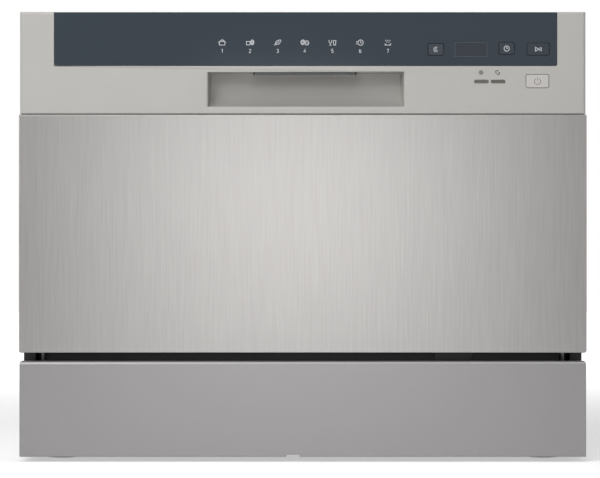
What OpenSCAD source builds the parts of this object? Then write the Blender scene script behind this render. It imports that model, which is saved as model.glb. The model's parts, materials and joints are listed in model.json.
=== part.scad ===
// Countertop dishwasher, six place settings, with a drop-down front door.
// Origin: centre of the footprint, on the surface that the feet stand on.
// +X is to the right, +Y to the back, +Z up; the door's front faces -Y.

/* [Case] */
// Width over the steel door panel
body_w = 550; // [546:1:556]
// Depth from the door's front to the top cover's back edge
body_d = 500; // [494:1:510]
// Height over the top cover
body_h = 438; // [434:1:444]
// Steel sheet of the case and tub
sheet_t = 1; // [0.8:0.1:1.2]
// Height of the kick plate's upper edge
kick_top = 98; // [96:0.5:99]
// Height of the kick plate's lower edge
kick_bottom = 5; // [4:0.5:6]
// Diameter of a foot's pad
foot_d = 34; // [30:1:38]

/* [Door] */
// Height of the door's lower edge
door_bottom = 105.8; // [105:0.1:107]
// Height of the seam between the steel panel and the control panel
seam_z = 337; // [334:0.5:340]
// Depth from the door's front to the inner liner's rolling surface
door_t = 42; // [41:0.5:42]
// Height of the hinge axis
hinge_z = 121; // [121:0.1:121.5]
// Depth of the hinge axis behind the door's front
hinge_back = 20; // [19.5:0.1:20]
// Diameter of a hinge pin
hinge_pin_d = 6; // [5:0.5:7]

/* [Control panel] */
// Gap in width between the control panel and the steel panel, each side
panel_inset = 1; // [0.5:0.5:2]
// Left end of the glossy strip
strip_left = -240.5; // [-244:0.5:-236]
// Right end of the glossy strip
strip_right = 246; // [240:0.5:248]
// Lower edge of the glossy strip
strip_low = 384; // [383:0.5:386]
// Width of the hand recess at its mouth
recess_w = 190; // [180:1:200]
// Centre of the hand recess
recess_x = 3; // [0:0.5:6]
// Lower edge of the hand recess
recess_low = 344; // [342:0.5:346]
// Upper edge of the hand recess
recess_high = 377.6; // [376:0.2:378]
// Radius of the recess's scooped floor
scoop_r = 30; // [28:0.5:30]
// Travel of each button
button_travel = 1.2; // [1:0.1:1.4]

/* [Cavity] */
// Inner width of the tub
tub_w = 494; // [490:1:496]
// Inner depth of the tub from its mouth
tub_d = 402; // [395:1:410]
// Height of the tub's floor
tub_floor = 132; // [132:0.5:133]
// Height of the tub's roof
tub_roof = 404; // [400:1:405]
// Corner radius of the tub
tub_r = 25; // [20:1:26]

/* [Racks] */
// Length of the wire basket, front to back
basket_d = 356; // [350:2:358]
// Width of the wire basket
basket_w = 444; // [440:1:446]
// Height of the basket's top rim
rim_z = 262; // [255:1:270]
// Diameter of the basket's frame wire
wire_d = 4; // [3.6:0.1:4]
// Diameter of a roller
roller_d = 24; // [23:0.5:24]
// Number of plate tines in a row
tine_count = 9; // [5:1:10]

/* [Spray arm] */
// Length of the spray arm, tip to tip
arm_span = 370; // [340:5:376]
// Diameter of the bearing that the arm turns on
arm_bearing_d = 12; // [10:1:14]
// Nozzles in each half of the arm
nozzle_count = 5; // [3:1:6]

/* [Hidden] */
$fn = 48;

// Case
half_w = body_w / 2;
front_y = -body_d / 2;
back_y = body_d / 2;
case_x = half_w - 1;            // outer face of the side panels
cover_h = 12.7;                 // height of the top cover
cover_z = body_h - cover_h;
tray_z = 8;                     // underside of the base tray
tray_t = 3;
tray_front = front_y + 14;
niche_y = back_y - 20;          // back face of the connection niche
niche_top = 110;
collar_y = front_y + 47;        // front face of the tub's collar

// Door
hinge_y = front_y + hinge_back;
liner_y = front_y + door_t;     // rolling surface of the liner
liner_low = hinge_z - 9;        // lower edge of the liner
skin_y = front_y + 0.6;         // front face of the steel panel and of the control panel
panel_top = body_h - 2;
wall_t = 2.5;                   // wall of the moulded control panel
fit_gap = 0.3;                  // clearance between pieces that move past each other
hinge_zone = [249, 268];        // strip on each side that the hinge works in

// Tub and racks
half_tub = tub_w / 2;
ledge_x = 222;                  // inner edge of a roller ledge
ledge_z = hinge_z + door_t - hinge_back;
roller_x = 233;
roller_w = 8;
roller_z = ledge_z + fit_gap + roller_d / 2;
roller_ys = [-120, 120];
basket_z = 167;                 // centre line of the lowest floor wires
filter_y = -85;                 // centre of the filter cylinder, in front of the spray hub
arm_z = 147;                    // underside of the spray arm

// Connections in the niche at the back
inlet_x = 200;
outlet_x = 140;
gland_x = -200;
inlet_z = 60;
outlet_z = 60;
gland_z = 60;

// ---- shared shapes ----

// Points of an arc round [cx, cy] from angle a0 to a1 in n steps.
function arc(cx, cy, r, a0, a1, n = 6) =
    [for (i = [0 : n]) let (a = a0 + (a1 - a0) * i / n) [cx + r * cos(a), cy + r * sin(a)]];

// Outline of a rectangle whose four corners have radius r.
function rounded(x0, x1, y0, y1, r, n = 5) = concat(
    arc(x1 - r, y0 + r, r, -90, 0, n), arc(x1 - r, y1 - r, r, 0, 90, n),
    arc(x0 + r, y1 - r, r, 90, 180, n), arc(x0 + r, y0 + r, r, 180, 270, n));

// A box given by its two limits on each axis.
module block(x0, x1, y0, y1, z0, z1) {
    translate([x0, y0, z0]) cube([x1 - x0, y1 - y0, z1 - z0]);
}

// Extrude an outline drawn in Y-Z along X, in X-Z along Y, or in X-Y along Z.
module along_x(x0, x1) {
    translate([x0, 0, 0]) rotate([90, 0, 90]) linear_extrude(x1 - x0) children();
}
module along_y(y0, y1) {
    translate([0, y1, 0]) rotate([90, 0, 0]) linear_extrude(y1 - y0) children();
}
module along_z(z0, z1) {
    translate([0, 0, z0]) linear_extrude(z1 - z0) children();
}

// Round bars along each axis, from a point and a length.
module rod_x(x0, x1, y, z, d) {
    translate([x0, y, z]) rotate([0, 90, 0]) cylinder(d = d, h = x1 - x0);
}
module rod_y(y0, y1, x, z, d) {
    translate([x, y0, z]) rotate([-90, 0, 0]) cylinder(d = d, h = y1 - y0);
}
module rod_z(z0, z1, x, y, d) {
    translate([x, y, z0]) cylinder(d = d, h = z1 - z0);
}

// The same piece on the left and on the right.
module both_sides() {
    children();
    mirror([1, 0, 0]) children();
}

// ---- case ----

// A steel side: a flat sheet with its front and top edges folded inwards, and an upright
// hat-section stiffener welded inside.
module side_panel() {
    fold = 10;
    inner = case_x - sheet_t;
    top = cover_z - fit_gap;
    color("gainsboro") {
        block(inner, case_x, collar_y, back_y - 2, tray_z + tray_t, top);
        block(case_x - fold, case_x, collar_y, collar_y + sheet_t, 48, top);
        block(case_x - fold, case_x, collar_y, back_y - 4, top - sheet_t, top);
        along_z(60, top - 20) polygon([[inner, 150], [inner, 160], [inner - 8, 164],
            [inner - 8, 186], [inner, 190], [inner, 200], [inner - 1, 200], [inner - 1, 191],
            [inner - 9, 187], [inner - 9, 163], [inner - 1, 159], [inner - 1, 150]]);
    }
}
module side_panel_left() {
    mirror([1, 0, 0]) side_panel();
}
module side_panel_right() {
    side_panel();
}

// The moulded cover: a shell with rounded edges, open below, that laps over the side panels.
module top_cover() {
    wall = 2.2;
    edge_r = 4;
    side_profile = concat([[back_y, cover_z]], arc(back_y - edge_r, body_h - edge_r, edge_r, 0, 90),
        arc(collar_y + edge_r, body_h - edge_r, edge_r, 90, 180), [[collar_y, cover_z]]);
    front_profile = concat([[case_x, cover_z]], arc(case_x - edge_r, body_h - edge_r, edge_r, 0, 90),
        arc(edge_r - case_x, body_h - edge_r, edge_r, 90, 180), [[-case_x, cover_z]]);
    color("gainsboro") {
        difference() {
            intersection() {
                along_x(-case_x, case_x) polygon(side_profile);
                along_y(collar_y, back_y) polygon(front_profile);
            }
            block(wall - case_x, case_x - wall, collar_y + wall, back_y - wall,
                cover_z - 1, body_h - wall);
            block(-62, 62, collar_y - 1, collar_y + wall + 1, cover_z - 1, body_h - 3);
        }
        // ribs under the top, and the tabs that drop inside the rear panel
        for (x = [-180, -90, 90, 180])
            block(x - 1, x + 1, collar_y + wall, back_y - wall, cover_z + 2, body_h - wall);
        for (x = [-200, 0, 200])
            block(x - 12, x + 12, back_y - 6, back_y - 4, cover_z - 10, body_h - wall);
    }
}

// The back: a sheet that steps in low down, to make the niche for the connections.
module rear_panel() {
    y1 = back_y - 2;
    y2 = niche_y;
    low = tray_z + tray_t;
    profile = [[y1, cover_z - 1], [y1, niche_top], [y2, niche_top - 12], [y2, low],
        [y2 - sheet_t, low], [y2 - sheet_t, niche_top - 11.6],
        [y1 - sheet_t, niche_top + 0.4], [y1 - sheet_t, cover_z - 1]];
    color("lightgray") difference() {
        along_x(1.5 + sheet_t - case_x, case_x - sheet_t - 1.5) polygon(profile);
        rod_y(y2 - 2, y2 + 1, inlet_x, inlet_z, 30);
        rod_y(y2 - 2, y2 + 1, outlet_x, outlet_z, 26);
        rod_y(y2 - 2, y2 + 1, gland_x, gland_z, 16);
        // louvres that let the machine space breathe
        for (i = [-5 : 5])
            along_y(y1 - 2, y1 + 1)
                polygon(rounded(i * 18 - 3, i * 18 + 3, 130, 175, 2.9));
    }
}

// The moulded tray that everything stands on: a floor, a low wall, foot bosses and ribs.
foot_at = [[-238, -170], [238, -170], [-238, 195], [238, 195]];
float_at = [-60, -185];
module base_tray() {
    wall_top = 40;
    cheek_top = kick_top - 4;
    inner_x = case_x - sheet_t - fit_gap;
    tray_back = niche_y - sheet_t - fit_gap;
    pad = [[-200, 80], [-120, 180], [pump_x + 65, pump_y]];
    color("dimgray") difference() {
        union() {
            block(-case_x, case_x, tray_front, back_y - 2, tray_z, tray_z + tray_t);
            difference() {
                block(-inner_x, inner_x, tray_front, tray_back, tray_z, wall_top);
                block(tray_t - inner_x, inner_x - tray_t, tray_front + tray_t, tray_back - tray_t,
                    tray_z, wall_top + 1);
            }
            for (p = foot_at) rod_z(tray_z, 32, p[0], p[1], 26);
            for (p = foot_at) block(p[0] - 1.5, p[0] + 1.5, p[1] - 30, p[1] + 30, tray_z, 24);
            // cross ribs, and the fence round the leak float
            for (y = [-130, -10, 110])
                block(tray_t - inner_x, inner_x - tray_t, y - 1.5, y + 1.5, tray_z, 20);
            for (p = pad) block(p[0] - 12, p[0] + 12, p[1] - 12, p[1] + 12, tray_z, 32.8);
            rod_z(tray_z, 36, float_at[0], float_at[1], 6);
            // cheeks that close the sides below the door, and posts behind the gap under it
            both_sides() {
                block(inner_x - tray_t, case_x, tray_front, collar_y - fit_gap, tray_z, cheek_top);
                block(hinge_zone[1] - 6, case_x, collar_y - tray_t, collar_y - fit_gap, tray_z,
                    liner_low - 4);
            }
            // posts that the front crossbar is screwed to, and the springs' anchors
            both_sides() block(200, 214, -190, -166, tray_z, 80);
            both_sides() block(spring_x - 3, spring_x + 3, spring_y - 3, spring_y + 3, tray_z, 25);
        }
        for (p = foot_at) rod_z(tray_z - 1, 33, p[0], p[1], 10.1);
    }
}

// The kick plate: a thin sheet with a rounded top edge, folded ends and a notch below.
module kick_plate() {
    t = 2;
    edge_r = 4;
    x1 = half_w - 0.5;
    lip = 6;
    y0 = front_y + 0.4;
    top_profile = concat([[y0, kick_bottom]],
        arc(y0 + edge_r, kick_top - edge_r, edge_r, 180, 90), [[y0 + lip, kick_top]],
        [[y0 + lip, kick_top - t]],
        arc(y0 + edge_r, kick_top - edge_r, edge_r - t, 90, 180), [[y0 + t, kick_bottom]]);
    color("lightgray") difference() {
        union() {
            intersection() {
                along_x(-x1, x1) polygon(top_profile);
                along_y(y0 - 1, y0 + lip + 1)
                    polygon(rounded(-x1, x1, kick_bottom - 8, kick_top, 3));
            }
            both_sides() block(x1 - t, x1, y0 + t, tray_front - fit_gap, kick_bottom + 3, 88);
            // hooks that push into the tray's front wall
            for (x = [-180, -60, 60, 180])
                block(x - 10, x + 10, y0 + t, tray_front, 30, 33);
        }
        block(-16, -3, y0 - 1, y0 + t + 1, kick_bottom - 1, kick_bottom + 2.2);
    }
}

// One screw foot: a stepped pad, a hexagon to turn it by, and the stem that runs in the tray.
module foot(i) {
    color("black") translate([foot_at[i][0], foot_at[i][1], 0]) {
        cylinder(d1 = foot_d, d2 = foot_d - 2, h = 1);
        translate([0, 0, 1]) cylinder(d = foot_d - 2, h = 2.5);
        translate([0, 0, 3.5]) cylinder(d = 24, h = 3.5, $fn = 6);
        translate([0, 0, 7]) cylinder(d = 10, h = 31);
    }
}
module foot_front_left() { foot(0); }
module foot_front_right() { foot(1); }
module foot_rear_left() { foot(2); }
module foot_rear_right() { foot(3); }

// ---- cavity ----

sump_hole = [-78, 78, -143, 33];
salt_at = [-165, 140];
strike_z = 421;
strike_window = rounded(-12, 12, strike_z - 6.5, strike_z + 10, 2);

// The tub: a deep-drawn steel box, open in front, with a collar, a sill and roller ledges.
module tub() {
    back = collar_y + tub_d + sheet_t;
    s = sheet_t;
    color("silver") difference() {
        union() {
            difference() {
                along_y(collar_y, back) polygon(rounded(-half_tub - s, half_tub + s,
                    tub_floor - s, tub_roof + s, tub_r + s, 6));
                along_y(collar_y - 1, back - s)
                    polygon(rounded(-half_tub, half_tub, tub_floor, tub_roof, tub_r, 6));
            }
            // collar round the mouth, with the strike's window above
            along_y(collar_y, collar_y + s) difference() {
                polygon([[-263, 136], [263, 136], [263, 424], [60, 424], [54, 434], [-54, 434],
                    [-60, 424], [-263, 424]]);
                polygon(rounded(-half_tub, half_tub, tub_floor, tub_roof, tub_r, 6));
                polygon(strike_window);
            }
            // sill that drops in front of the floor
            block(-244, 244, collar_y, collar_y + s, 112, tub_floor);
            // roller ledges: a flat top and a riser on each side
            both_sides() {
                block(ledge_x, 244.5, collar_y, back - 0.5, ledge_z - s, ledge_z);
                block(ledge_x, ledge_x + s, collar_y, back - 0.5, tub_floor - 0.5, ledge_z);
            }
        }
        along_z(tub_floor - 3, tub_floor + 1)
            polygon(rounded(sump_hole[0], sump_hole[1], sump_hole[2], sump_hole[3], 20));
        rod_z(tub_floor - 3, tub_floor + 2, salt_at[0], salt_at[1], 50);
        // inlet from the air break, high on the left side
        rod_x(-half_tub - 3, 1 - half_tub, 20, 300, 20);
    }
}

// The door seal: a rubber section that runs up one side, over the roof and down the other.
module tub_gasket() {
    y0 = liner_y + fit_gap;
    color("black") along_y(y0, collar_y) difference() {
        polygon(rounded(-261, 261, 60, 413.5, 30, 8));
        polygon(rounded(-251.5, 251.5, 50, tub_roof + 1, 24, 8));
        polygon([[-270, 40], [270, 40], [270, 137], [-270, 137]]);
    }
}

// The strip seal along the sill: a flat foot and a lip that leans at the door.
module sill_seal() {
    y0 = collar_y;
    color("black") along_x(-242, 242) polygon([[y0, 114], [y0 - 1, 114], [y0 - 1, 119],
        [y0 - 2.5, 124], [y0 - 2, 126.5], [y0 - 1, 125], [y0 - 1, 128], [y0, 128]]);
}

// The steel crossbar below the sill, with the upright tab that shows in the gap under the door.
module front_crossbar() {
    y0 = -188;
    y1 = -166;
    tab_y = collar_y - 6.5;
    color("gray") {
        along_x(-254, 254) polygon([[y0, 80], [y1, 80], [y1, 82], [y0 + 2, 82], [y0 + 2, 108],
            [y1, 108], [y1, 110], [y0, 110]]);
        block(129, 166.5, tab_y, y0, 91, 93);
        block(129, 166.5, tab_y, tab_y + 1.5, 91, 105);
    }
}

// Hinge brackets: a plate at each end of the crossbar whose arm reaches forward to the pin.
module hinge_brackets() {
    x0 = 256;
    x1 = 258.5;
    eye_r = 9;
    color("gray") both_sides() {
        difference() {
            union() {
                along_x(x0, x1) polygon([[-228, 113.5], [-206, 102], [-200, 84], [-160, 84],
                    [-160, 128], [-196, 128], [-206, 118], [-224, 127]]);
                translate([0, hinge_y, hinge_z]) rotate([0, 90, 0])
                    translate([0, 0, x0]) cylinder(r = eye_r, h = x1 - x0);
            }
            rod_x(x0 - 1, x1 + 1, hinge_y, hinge_z, hinge_pin_d);
            rod_x(x0 - 1, x1 + 1, -180, 95, 5);
        }
        block(254, x0, -186, -168, 84, 106);
    }
}

// Hinge pins: a headed rivet in each bracket, with a plain end that carries the door's arm.
module hinge_pins() {
    color("silver") both_sides() {
        rod_x(250.2, 258.5, hinge_y, hinge_z, hinge_pin_d);
        rod_x(258.5, 260.5, hinge_y, hinge_z, hinge_pin_d + 5);
    }
}

// ---- hinge ----

spring_foot_z = 26;             // height of the springs' lower eyes
tail_eye = [hinge_y + 5.2, hinge_z - 29.5];
spring_y = tail_eye[0];
spring_x = 252.75;

// Triangles of a tube of ring_count rings with n points each.
function tube_faces(ring_count, n) = concat(
    [for (i = [0 : ring_count - 2], j = [0 : n - 1]) let (k = (j + 1) % n)
        [i * n + j, i * n + k, (i + 1) * n + k, (i + 1) * n + j]],
    [[for (j = [n - 1 : -1 : 0]) j]],
    [[for (j = [0 : n - 1]) (ring_count - 1) * n + j]]);

// A round wire wound round the Z axis: coil radius r, wire radius w, height h.
module coil(r, w, h, turns) {
    sides = 6;
    steps = 12;
    count = turns * steps + 1;
    points = [for (i = [0 : count - 1], j = [0 : sides - 1])
        let (a = 360 * i / steps, b = 360 * j / sides, q = r + w * cos(b))
        [q * cos(a), q * sin(a), h * i / (count - 1) + w * sin(b)]];
    polyhedron(points, tube_faces(count, sides), convexity = 8);
}

// Counterbalance springs: each hangs between the tray's anchor and the tail of a hinge arm.
module door_springs() {
    coil_low = spring_foot_z + 8;
    coil_h = tail_eye[1] - 9 - coil_low;
    wire = 1.6;
    coil_r = 5.5;
    color("silver") both_sides() translate([spring_x, spring_y, 0]) {
        translate([0, 0, coil_low]) coil(coil_r, wire / 2, coil_h, 11);
        rod_z(spring_foot_z, coil_low - 1, coil_r, 0, wire);
        rod_z(coil_low + coil_h + 1, tail_eye[1] + 0.8, coil_r, 0, wire);
        rod_x(-3, coil_r, 0, tail_eye[1], wire);
    }
}

// Hinge arms on the door: a plate that turns on the pin, a tail for the spring and a foot that
// is screwed to the liner.
module hinge_arms() {
    x0 = 251.5;
    x1 = 254;
    fit = 0.1;
    foot_y = liner_y - 1.5;
    color("gray") both_sides() {
        difference() {
            union() {
                along_x(x0, x1) polygon([[hinge_y - 7, hinge_z - 5], [hinge_y + 1, hinge_z - 30],
                    [hinge_y + 9, hinge_z - 29], [hinge_y + 8, hinge_z + 4],
                    [foot_y, hinge_z + 22], [foot_y, 205], [foot_y - 12, 205],
                    [hinge_y - 7, hinge_z + 40]]);
                rod_x(x0, x1, hinge_y, hinge_z, 18);
                rod_x(x0, x1, tail_eye[0], tail_eye[1], 10);
            }
            rod_x(x0 - 1, x1 + 1, hinge_y, hinge_z, hinge_pin_d + fit);
            rod_x(x0 - 1, x1 + 1, tail_eye[0], tail_eye[1], 4);
        }
        block(236, x0, foot_y - 2, foot_y, 150, 205);
    }
}

// ---- water parts under the tub ----

sump_floor = 48;
pump_x = 86.5;                  // face of the wash pump's volute
pump_y = -65;
pump_z = 74;
heater_x = 111;
heater_y = -2.5;
heater_z = pump_z + 22;
drain_x = -12;
drain_y = -22.5;                // face of the drain pump's volute
drain_z = 58;

// The sump: a moulded dish that hangs in the tub's floor, with a deep cup for the filter.
module sump() {
    x = sump_hole[1];
    y0 = sump_hole[2];
    y1 = sump_hole[3];
    color("dimgray") difference() {
        union() {
            along_z(100, tub_floor - sheet_t) polygon(rounded(-x - 6, x + 6, y0 - 6, y1 + 6, 24));
            rod_z(sump_floor, 101, 0, filter_y, 92);
            rod_z(84, 101, 0, 0, 34);
            // spigots to the wash pump, the drain pump and the heater
            rod_x(30, pump_x - 0.5, pump_y, pump_z, 28);
            rod_y(filter_y + 20, drain_y - 0.5, drain_x, drain_z, 20);
            rod_x(-70, -30, filter_y + 8, 66, 22);
        }
        along_z(103, tub_floor + 1) polygon(rounded(-x, x, y0, y1, 18));
        rod_z(sump_floor + 3, 110, 0, filter_y, 86);
        rod_z(80, 110, 0, 0, 13);
        rod_x(20, pump_x, pump_y, pump_z, 22);
        rod_y(filter_y, drain_y, drain_x, drain_z, 15);
        rod_x(-71, -20, filter_y + 8, 66, 16);
    }
}

// The wash pump: a finned motor with a round volute that faces the sump.
module wash_pump() {
    motor_x = pump_x + 33;
    color("black") {
        difference() {
            rod_x(pump_x, motor_x, pump_y, pump_z, 76);
            rod_x(pump_x - 1, pump_x + 20, pump_y, pump_z, 22);
        }
        rod_x(motor_x, motor_x + 64, pump_y, pump_z, 58);
        for (x = [4 : 8 : 60]) rod_x(motor_x + x, motor_x + x + 3, pump_y, pump_z, 64);
        rod_x(motor_x + 64, motor_x + 72, pump_y, pump_z, 40);
        // outlet to the heater, and the rubber saddle under the motor
        rod_y(pump_y + 25, heater_y - 0.5, heater_x, heater_z, 22);
        block(motor_x + 17, motor_x + 47, pump_y - 20, pump_y + 20, 33, pump_z - 20);
    }
}

// The drain pump: a small motor behind the sump with a clear volute.
module drain_pump() {
    color("darkslategray") {
        rod_y(drain_y, drain_y + 20, drain_x, drain_z, 48);
        rod_y(drain_y + 20, drain_y + 62, drain_x, drain_z, 36);
        block(drain_x - 10, drain_x + 10, drain_y + 26, drain_y + 56, drain_z, drain_z + 22);
        rod_x(drain_x - 48, drain_x, drain_y + 10, drain_z + 14, 14);
    }
}

// The flow heater: a steel tube with a flange at each end and two terminals.
module flow_heater() {
    y = heater_y;
    color("silver") {
        rod_y(y, y + 10, heater_x, heater_z, 22);
        rod_y(y + 10, y + 14, heater_x, heater_z, 50);
        rod_y(y + 14, y + 110, heater_x, heater_z, 44);
        rod_y(y + 110, y + 114, heater_x, heater_z, 50);
        for (dx = [-12, 12]) rod_y(y + 114, y + 128, heater_x + dx, heater_z, 6);
    }
}

// The softener: a rounded tank with a waist ridge and a neck that rises through the tub's floor.
module water_softener() {
    x = salt_at[0];
    y = salt_at[1];
    color("white") difference() {
        union() {
            along_z(33, 76) polygon(rounded(x - 62, x + 72, y - 92, y + 62, 18));
            along_z(76, 80) polygon(rounded(x - 64, x + 74, y - 94, y + 64, 20));
            along_z(80, 122) polygon(rounded(x - 62, x + 72, y - 92, y + 62, 18));
            rod_z(122, 135, x, y, 49.4);
            rod_z(121, tub_floor - sheet_t, x, y, 62);
            rod_y(y - 118, y - 90, x + 40, 60, 18);
        }
        rod_z(60, 136, x, y, 40);
    }
}

// The salt cap: a screw cap with a knurled skirt and a finger bar across a dished top.
module salt_cap() {
    x = salt_at[0];
    y = salt_at[1];
    color("whitesmoke") {
        rod_z(118, 136, x, y, 39);
        difference() {
            rod_z(135.3, 145, x, y, 56);
            rod_z(140, 146, x, y, 46);
        }
        for (a = [0 : 20 : 340])
            translate([x, y, 136.5]) rotate([0, 0, a]) translate([27, -1.4, 0]) cube([2.4, 2.8, 7]);
        block(x - 24, x + 24, y - 3, y + 3, 139, 145);
    }
}

// The inlet valve: a threaded stub in the niche, a body behind it and two solenoid coils.
module inlet_valve() {
    y1 = back_y - 3;
    color("white") {
        difference() {
            rod_y(niche_y - 14, y1, inlet_x, inlet_z, 26.4);
            rod_y(niche_y + 2, y1 + 1, inlet_x, inlet_z, 18);
        }
        rod_y(niche_y - 20, niche_y - 14, inlet_x, inlet_z, 36);
        rod_y(niche_y + 0.5, niche_y + 4, inlet_x, inlet_z, 36);
        block(inlet_x - 16, inlet_x + 16, niche_y - 52, niche_y - 20, inlet_z - 16, inlet_z + 16);
        rod_z(inlet_z + 16, inlet_z + 46, inlet_x, niche_y - 36, 28);
        rod_x(inlet_x - 40, inlet_x - 16, niche_y - 36, inlet_z, 12);
    }
}

// The drain outlet: a barbed spigot in the niche with an elbow behind it.
module drain_outlet() {
    y1 = back_y - 2;
    color("gray") difference() {
        union() {
            rod_y(niche_y - 30, y1, outlet_x, outlet_z, 19);
            rod_y(niche_y - 5, niche_y - 1.4, outlet_x, outlet_z, 34);
            translate([outlet_x, y1 - 6, outlet_z]) rotate([-90, 0, 0])
                cylinder(d1 = 21.5, d2 = 19, h = 4);
            rod_z(outlet_z, outlet_z + 30, outlet_x, niche_y - 30, 19);
        }
        rod_y(niche_y - 28, y1 + 1, outlet_x, outlet_z, 14);
        rod_z(outlet_z + 4, outlet_z + 31, outlet_x, niche_y - 30, 14);
    }
}

// The cord gland: a flanged bush with a bore, snapped into the back.
module cord_gland() {
    color("black") difference() {
        union() {
            rod_y(niche_y, niche_y + 5, gland_x, gland_z, 24);
            rod_y(niche_y - 8, niche_y + 1, gland_x, gland_z, 15.4);
            rod_y(niche_y - 8, niche_y - 4, gland_x, gland_z, 19);
        }
        rod_y(niche_y - 9, niche_y + 6, gland_x, gland_z, 8);
    }
}

// The air break: a flat welded chamber between the tub and the left side, with a moulded maze.
module air_break() {
    x0 = -half_tub - 20;
    x1 = -half_tub - 5;
    color("white") {
        difference() {
            along_x(x0, x1) polygon(rounded(-120, 120, 150, 380, 14));
            for (i = [0 : 3]) along_x(x0 - 1, x0 + 3)
                polygon(rounded(-108 + 56 * i, -60 + 56 * i, 162, 368, 8));
        }
        for (i = [0 : 3], k = [0 : 4])
            block(x0, x0 + 4, -108 + 56 * i + 12 * (k % 2), -72 + 56 * i + 12 * (k % 2),
                188 + 38 * k, 190 + 38 * k);
        rod_x(x1, -half_tub + 3, 20, 300, 19);
        rod_z(120, 152, x0 + 8, 60, 12);
    }
}

// The leak float: a foam disc that rises on the tray's post.
module leak_float() {
    color("white") difference() {
        union() {
            rod_z(tray_z + tray_t + 0.3, 22, float_at[0], float_at[1], 40);
            rod_z(22, 25, float_at[0], float_at[1], 26);
        }
        rod_z(tray_z, 26, float_at[0], float_at[1], 6.4);
    }
}

// The fine filter: a pressed plate with holes all over, except round its two round mouths.
module fine_filter() {
    x = sump_hole[1] + 5;
    y0 = sump_hole[2] - 5;
    y1 = sump_hole[3] + 5;
    pitch = 12;
    color("silver") difference() {
        along_z(tub_floor, tub_floor + 1.2) polygon(rounded(-x, x, y0, y1, 24));
        rod_z(tub_floor - 1, tub_floor + 3, 0, filter_y, 78);
        rod_z(tub_floor - 1, tub_floor + 3, 0, 0, 30);
        for (px = [-66 : pitch : 66], py = [-127 : pitch : 20])
            if (norm([px, py - filter_y]) > 46 && norm([px, py]) > 22)
                rod_z(tub_floor - 1, tub_floor + 2, px, py, 5);
    }
}

// The coarse filter: a caged cylinder with a ring grip, turned by a quarter to free it.
module coarse_filter() {
    z0 = sump_floor + 6;
    color("gray") translate([0, filter_y, 0]) {
        difference() {
            union() {
                rod_z(z0, tub_floor + 1, 0, 0, 76);
                rod_z(tub_floor + 1.3, tub_floor + 4, 0, 0, 84);
            }
            rod_z(z0 + 2, tub_floor + 5, 0, 0, 70);
            for (a = [0 : 30 : 330], z = [z0 + 10, z0 + 40])
                rotate([0, 0, a]) translate([30, -5, z]) cube([10, 10, 24]);
        }
        // inner cup and its grip
        difference() {
            union() {
                rod_z(z0 + 2, tub_floor + 4, 0, 0, 34);
                block(-36, 36, -2, 2, tub_floor - 3, tub_floor + 2);
            }
            rod_z(z0 + 4, tub_floor + 5, 0, 0, 29);
        }
        difference() {
            translate([0, 2.5, tub_floor]) rotate([90, 0, 0]) cylinder(d = 26, h = 5);
            translate([0, 3, tub_floor]) rotate([90, 0, 0]) cylinder(d = 16, h = 6);
            block(-14, 14, -4, 4, tub_floor - 14, tub_floor - 0.5);
        }
    }
}

// ---- spray ----

// The spray hub: a hollow post that rises out of the sump and carries the arm.
module spray_hub() {
    color("dimgray") difference() {
        union() {
            rod_z(86, arm_z + 13, 0, 0, arm_bearing_d);
            rod_z(tub_floor + 1.4, arm_z - 4, 0, 0, 34);
            rod_z(arm_z - 4, arm_z - 0.4, 0, 0, 26);
            rod_z(arm_z + 11.3, arm_z + 13.5, 0, 0, arm_bearing_d + 8);
        }
        rod_z(85, arm_z + 15, 0, 0, arm_bearing_d - 4);
    }
}

// Half the width of the arm's blade at u = 0 by the hub to u = 1 at the tip.
function blade_half(u) = 17 - 8 * u + 5 * sin(180 * u);

// How far the blade's centre line sweeps sideways at u.
function blade_sweep(u) = 16 * sin(150 * u) - 8 * u;

// Outline of both halves of the blade, shrunk by e all round.
function blade(e) = let (n = 12, tip = arm_span / 2, r0 = 8) concat(
    [for (i = [0 : n]) let (u = i / n)
        [r0 + (tip - r0 - 10) * u, blade_sweep(u) - blade_half(u) + e]],
    arc(tip - 10, blade_sweep(1), blade_half(1) - e, -60, 60, 6),
    [for (i = [n : -1 : 0]) let (u = i / n)
        [r0 + (tip - r0 - 10) * u, blade_sweep(u) + blade_half(u) - e]]);

// The spray arm: a welded hollow blade, a raised crown along it, nozzles, and a bored hub.
module spray_arm() {
    fit = 0.1;
    color("silver") difference() {
        union() {
            for (a = [0, 180]) rotate([0, 0, a]) {
                along_z(arm_z, arm_z + 6) polygon(blade(0));
                along_z(arm_z + 6, arm_z + 7.5) polygon(blade(2));
                along_z(arm_z + 7.5, arm_z + 9) polygon(blade(5));
                for (i = [1 : nozzle_count]) let (u = i / (nozzle_count + 0.6))
                    rod_z(arm_z + 8, arm_z + 10.5, 8 + (arm_span / 2 - 18) * u, blade_sweep(u), 9);
            }
            rod_z(arm_z, arm_z + 11, 0, 0, 42);
        }
        for (a = [0, 180], i = [1 : nozzle_count]) let (u = i / (nozzle_count + 0.6))
            rotate([0, 0, a]) rod_z(arm_z + 5, arm_z + 12,
                8 + (arm_span / 2 - 18) * u, blade_sweep(u), 3.2);
        rod_z(arm_z - 1, arm_z + 12, 0, 0, arm_bearing_d + fit);
    }
}

// ---- racks ----

basket_x = basket_w / 2;
basket_y = basket_d / 2;
bend_r = 12;
layer = wire_d + 0.05;          // crossing wires lie on each other with a hair's gap
floor_2 = basket_z + layer;     // centre line of the upper floor wires
mid_rim_z = 212;
cutlery = [128, 206, -160, 12]; // footprint of the cutlery basket
tine_top = 224;

// A wire bent up at both ends: a floor run, two bends and two legs, drawn across X at one Y.
module cross_wire(half, z0, z1) {
    rod_x(bend_r - half, half - bend_r, 0, z0, wire_d);
    both_sides() {
        translate([half - bend_r, 0, z0 + bend_r]) rotate([-90, 0, 0])
            rotate_extrude(angle = 90) translate([bend_r, 0]) circle(d = wire_d);
        rod_z(z0 + bend_r, z1, half, 0, wire_d);
    }
}

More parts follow.
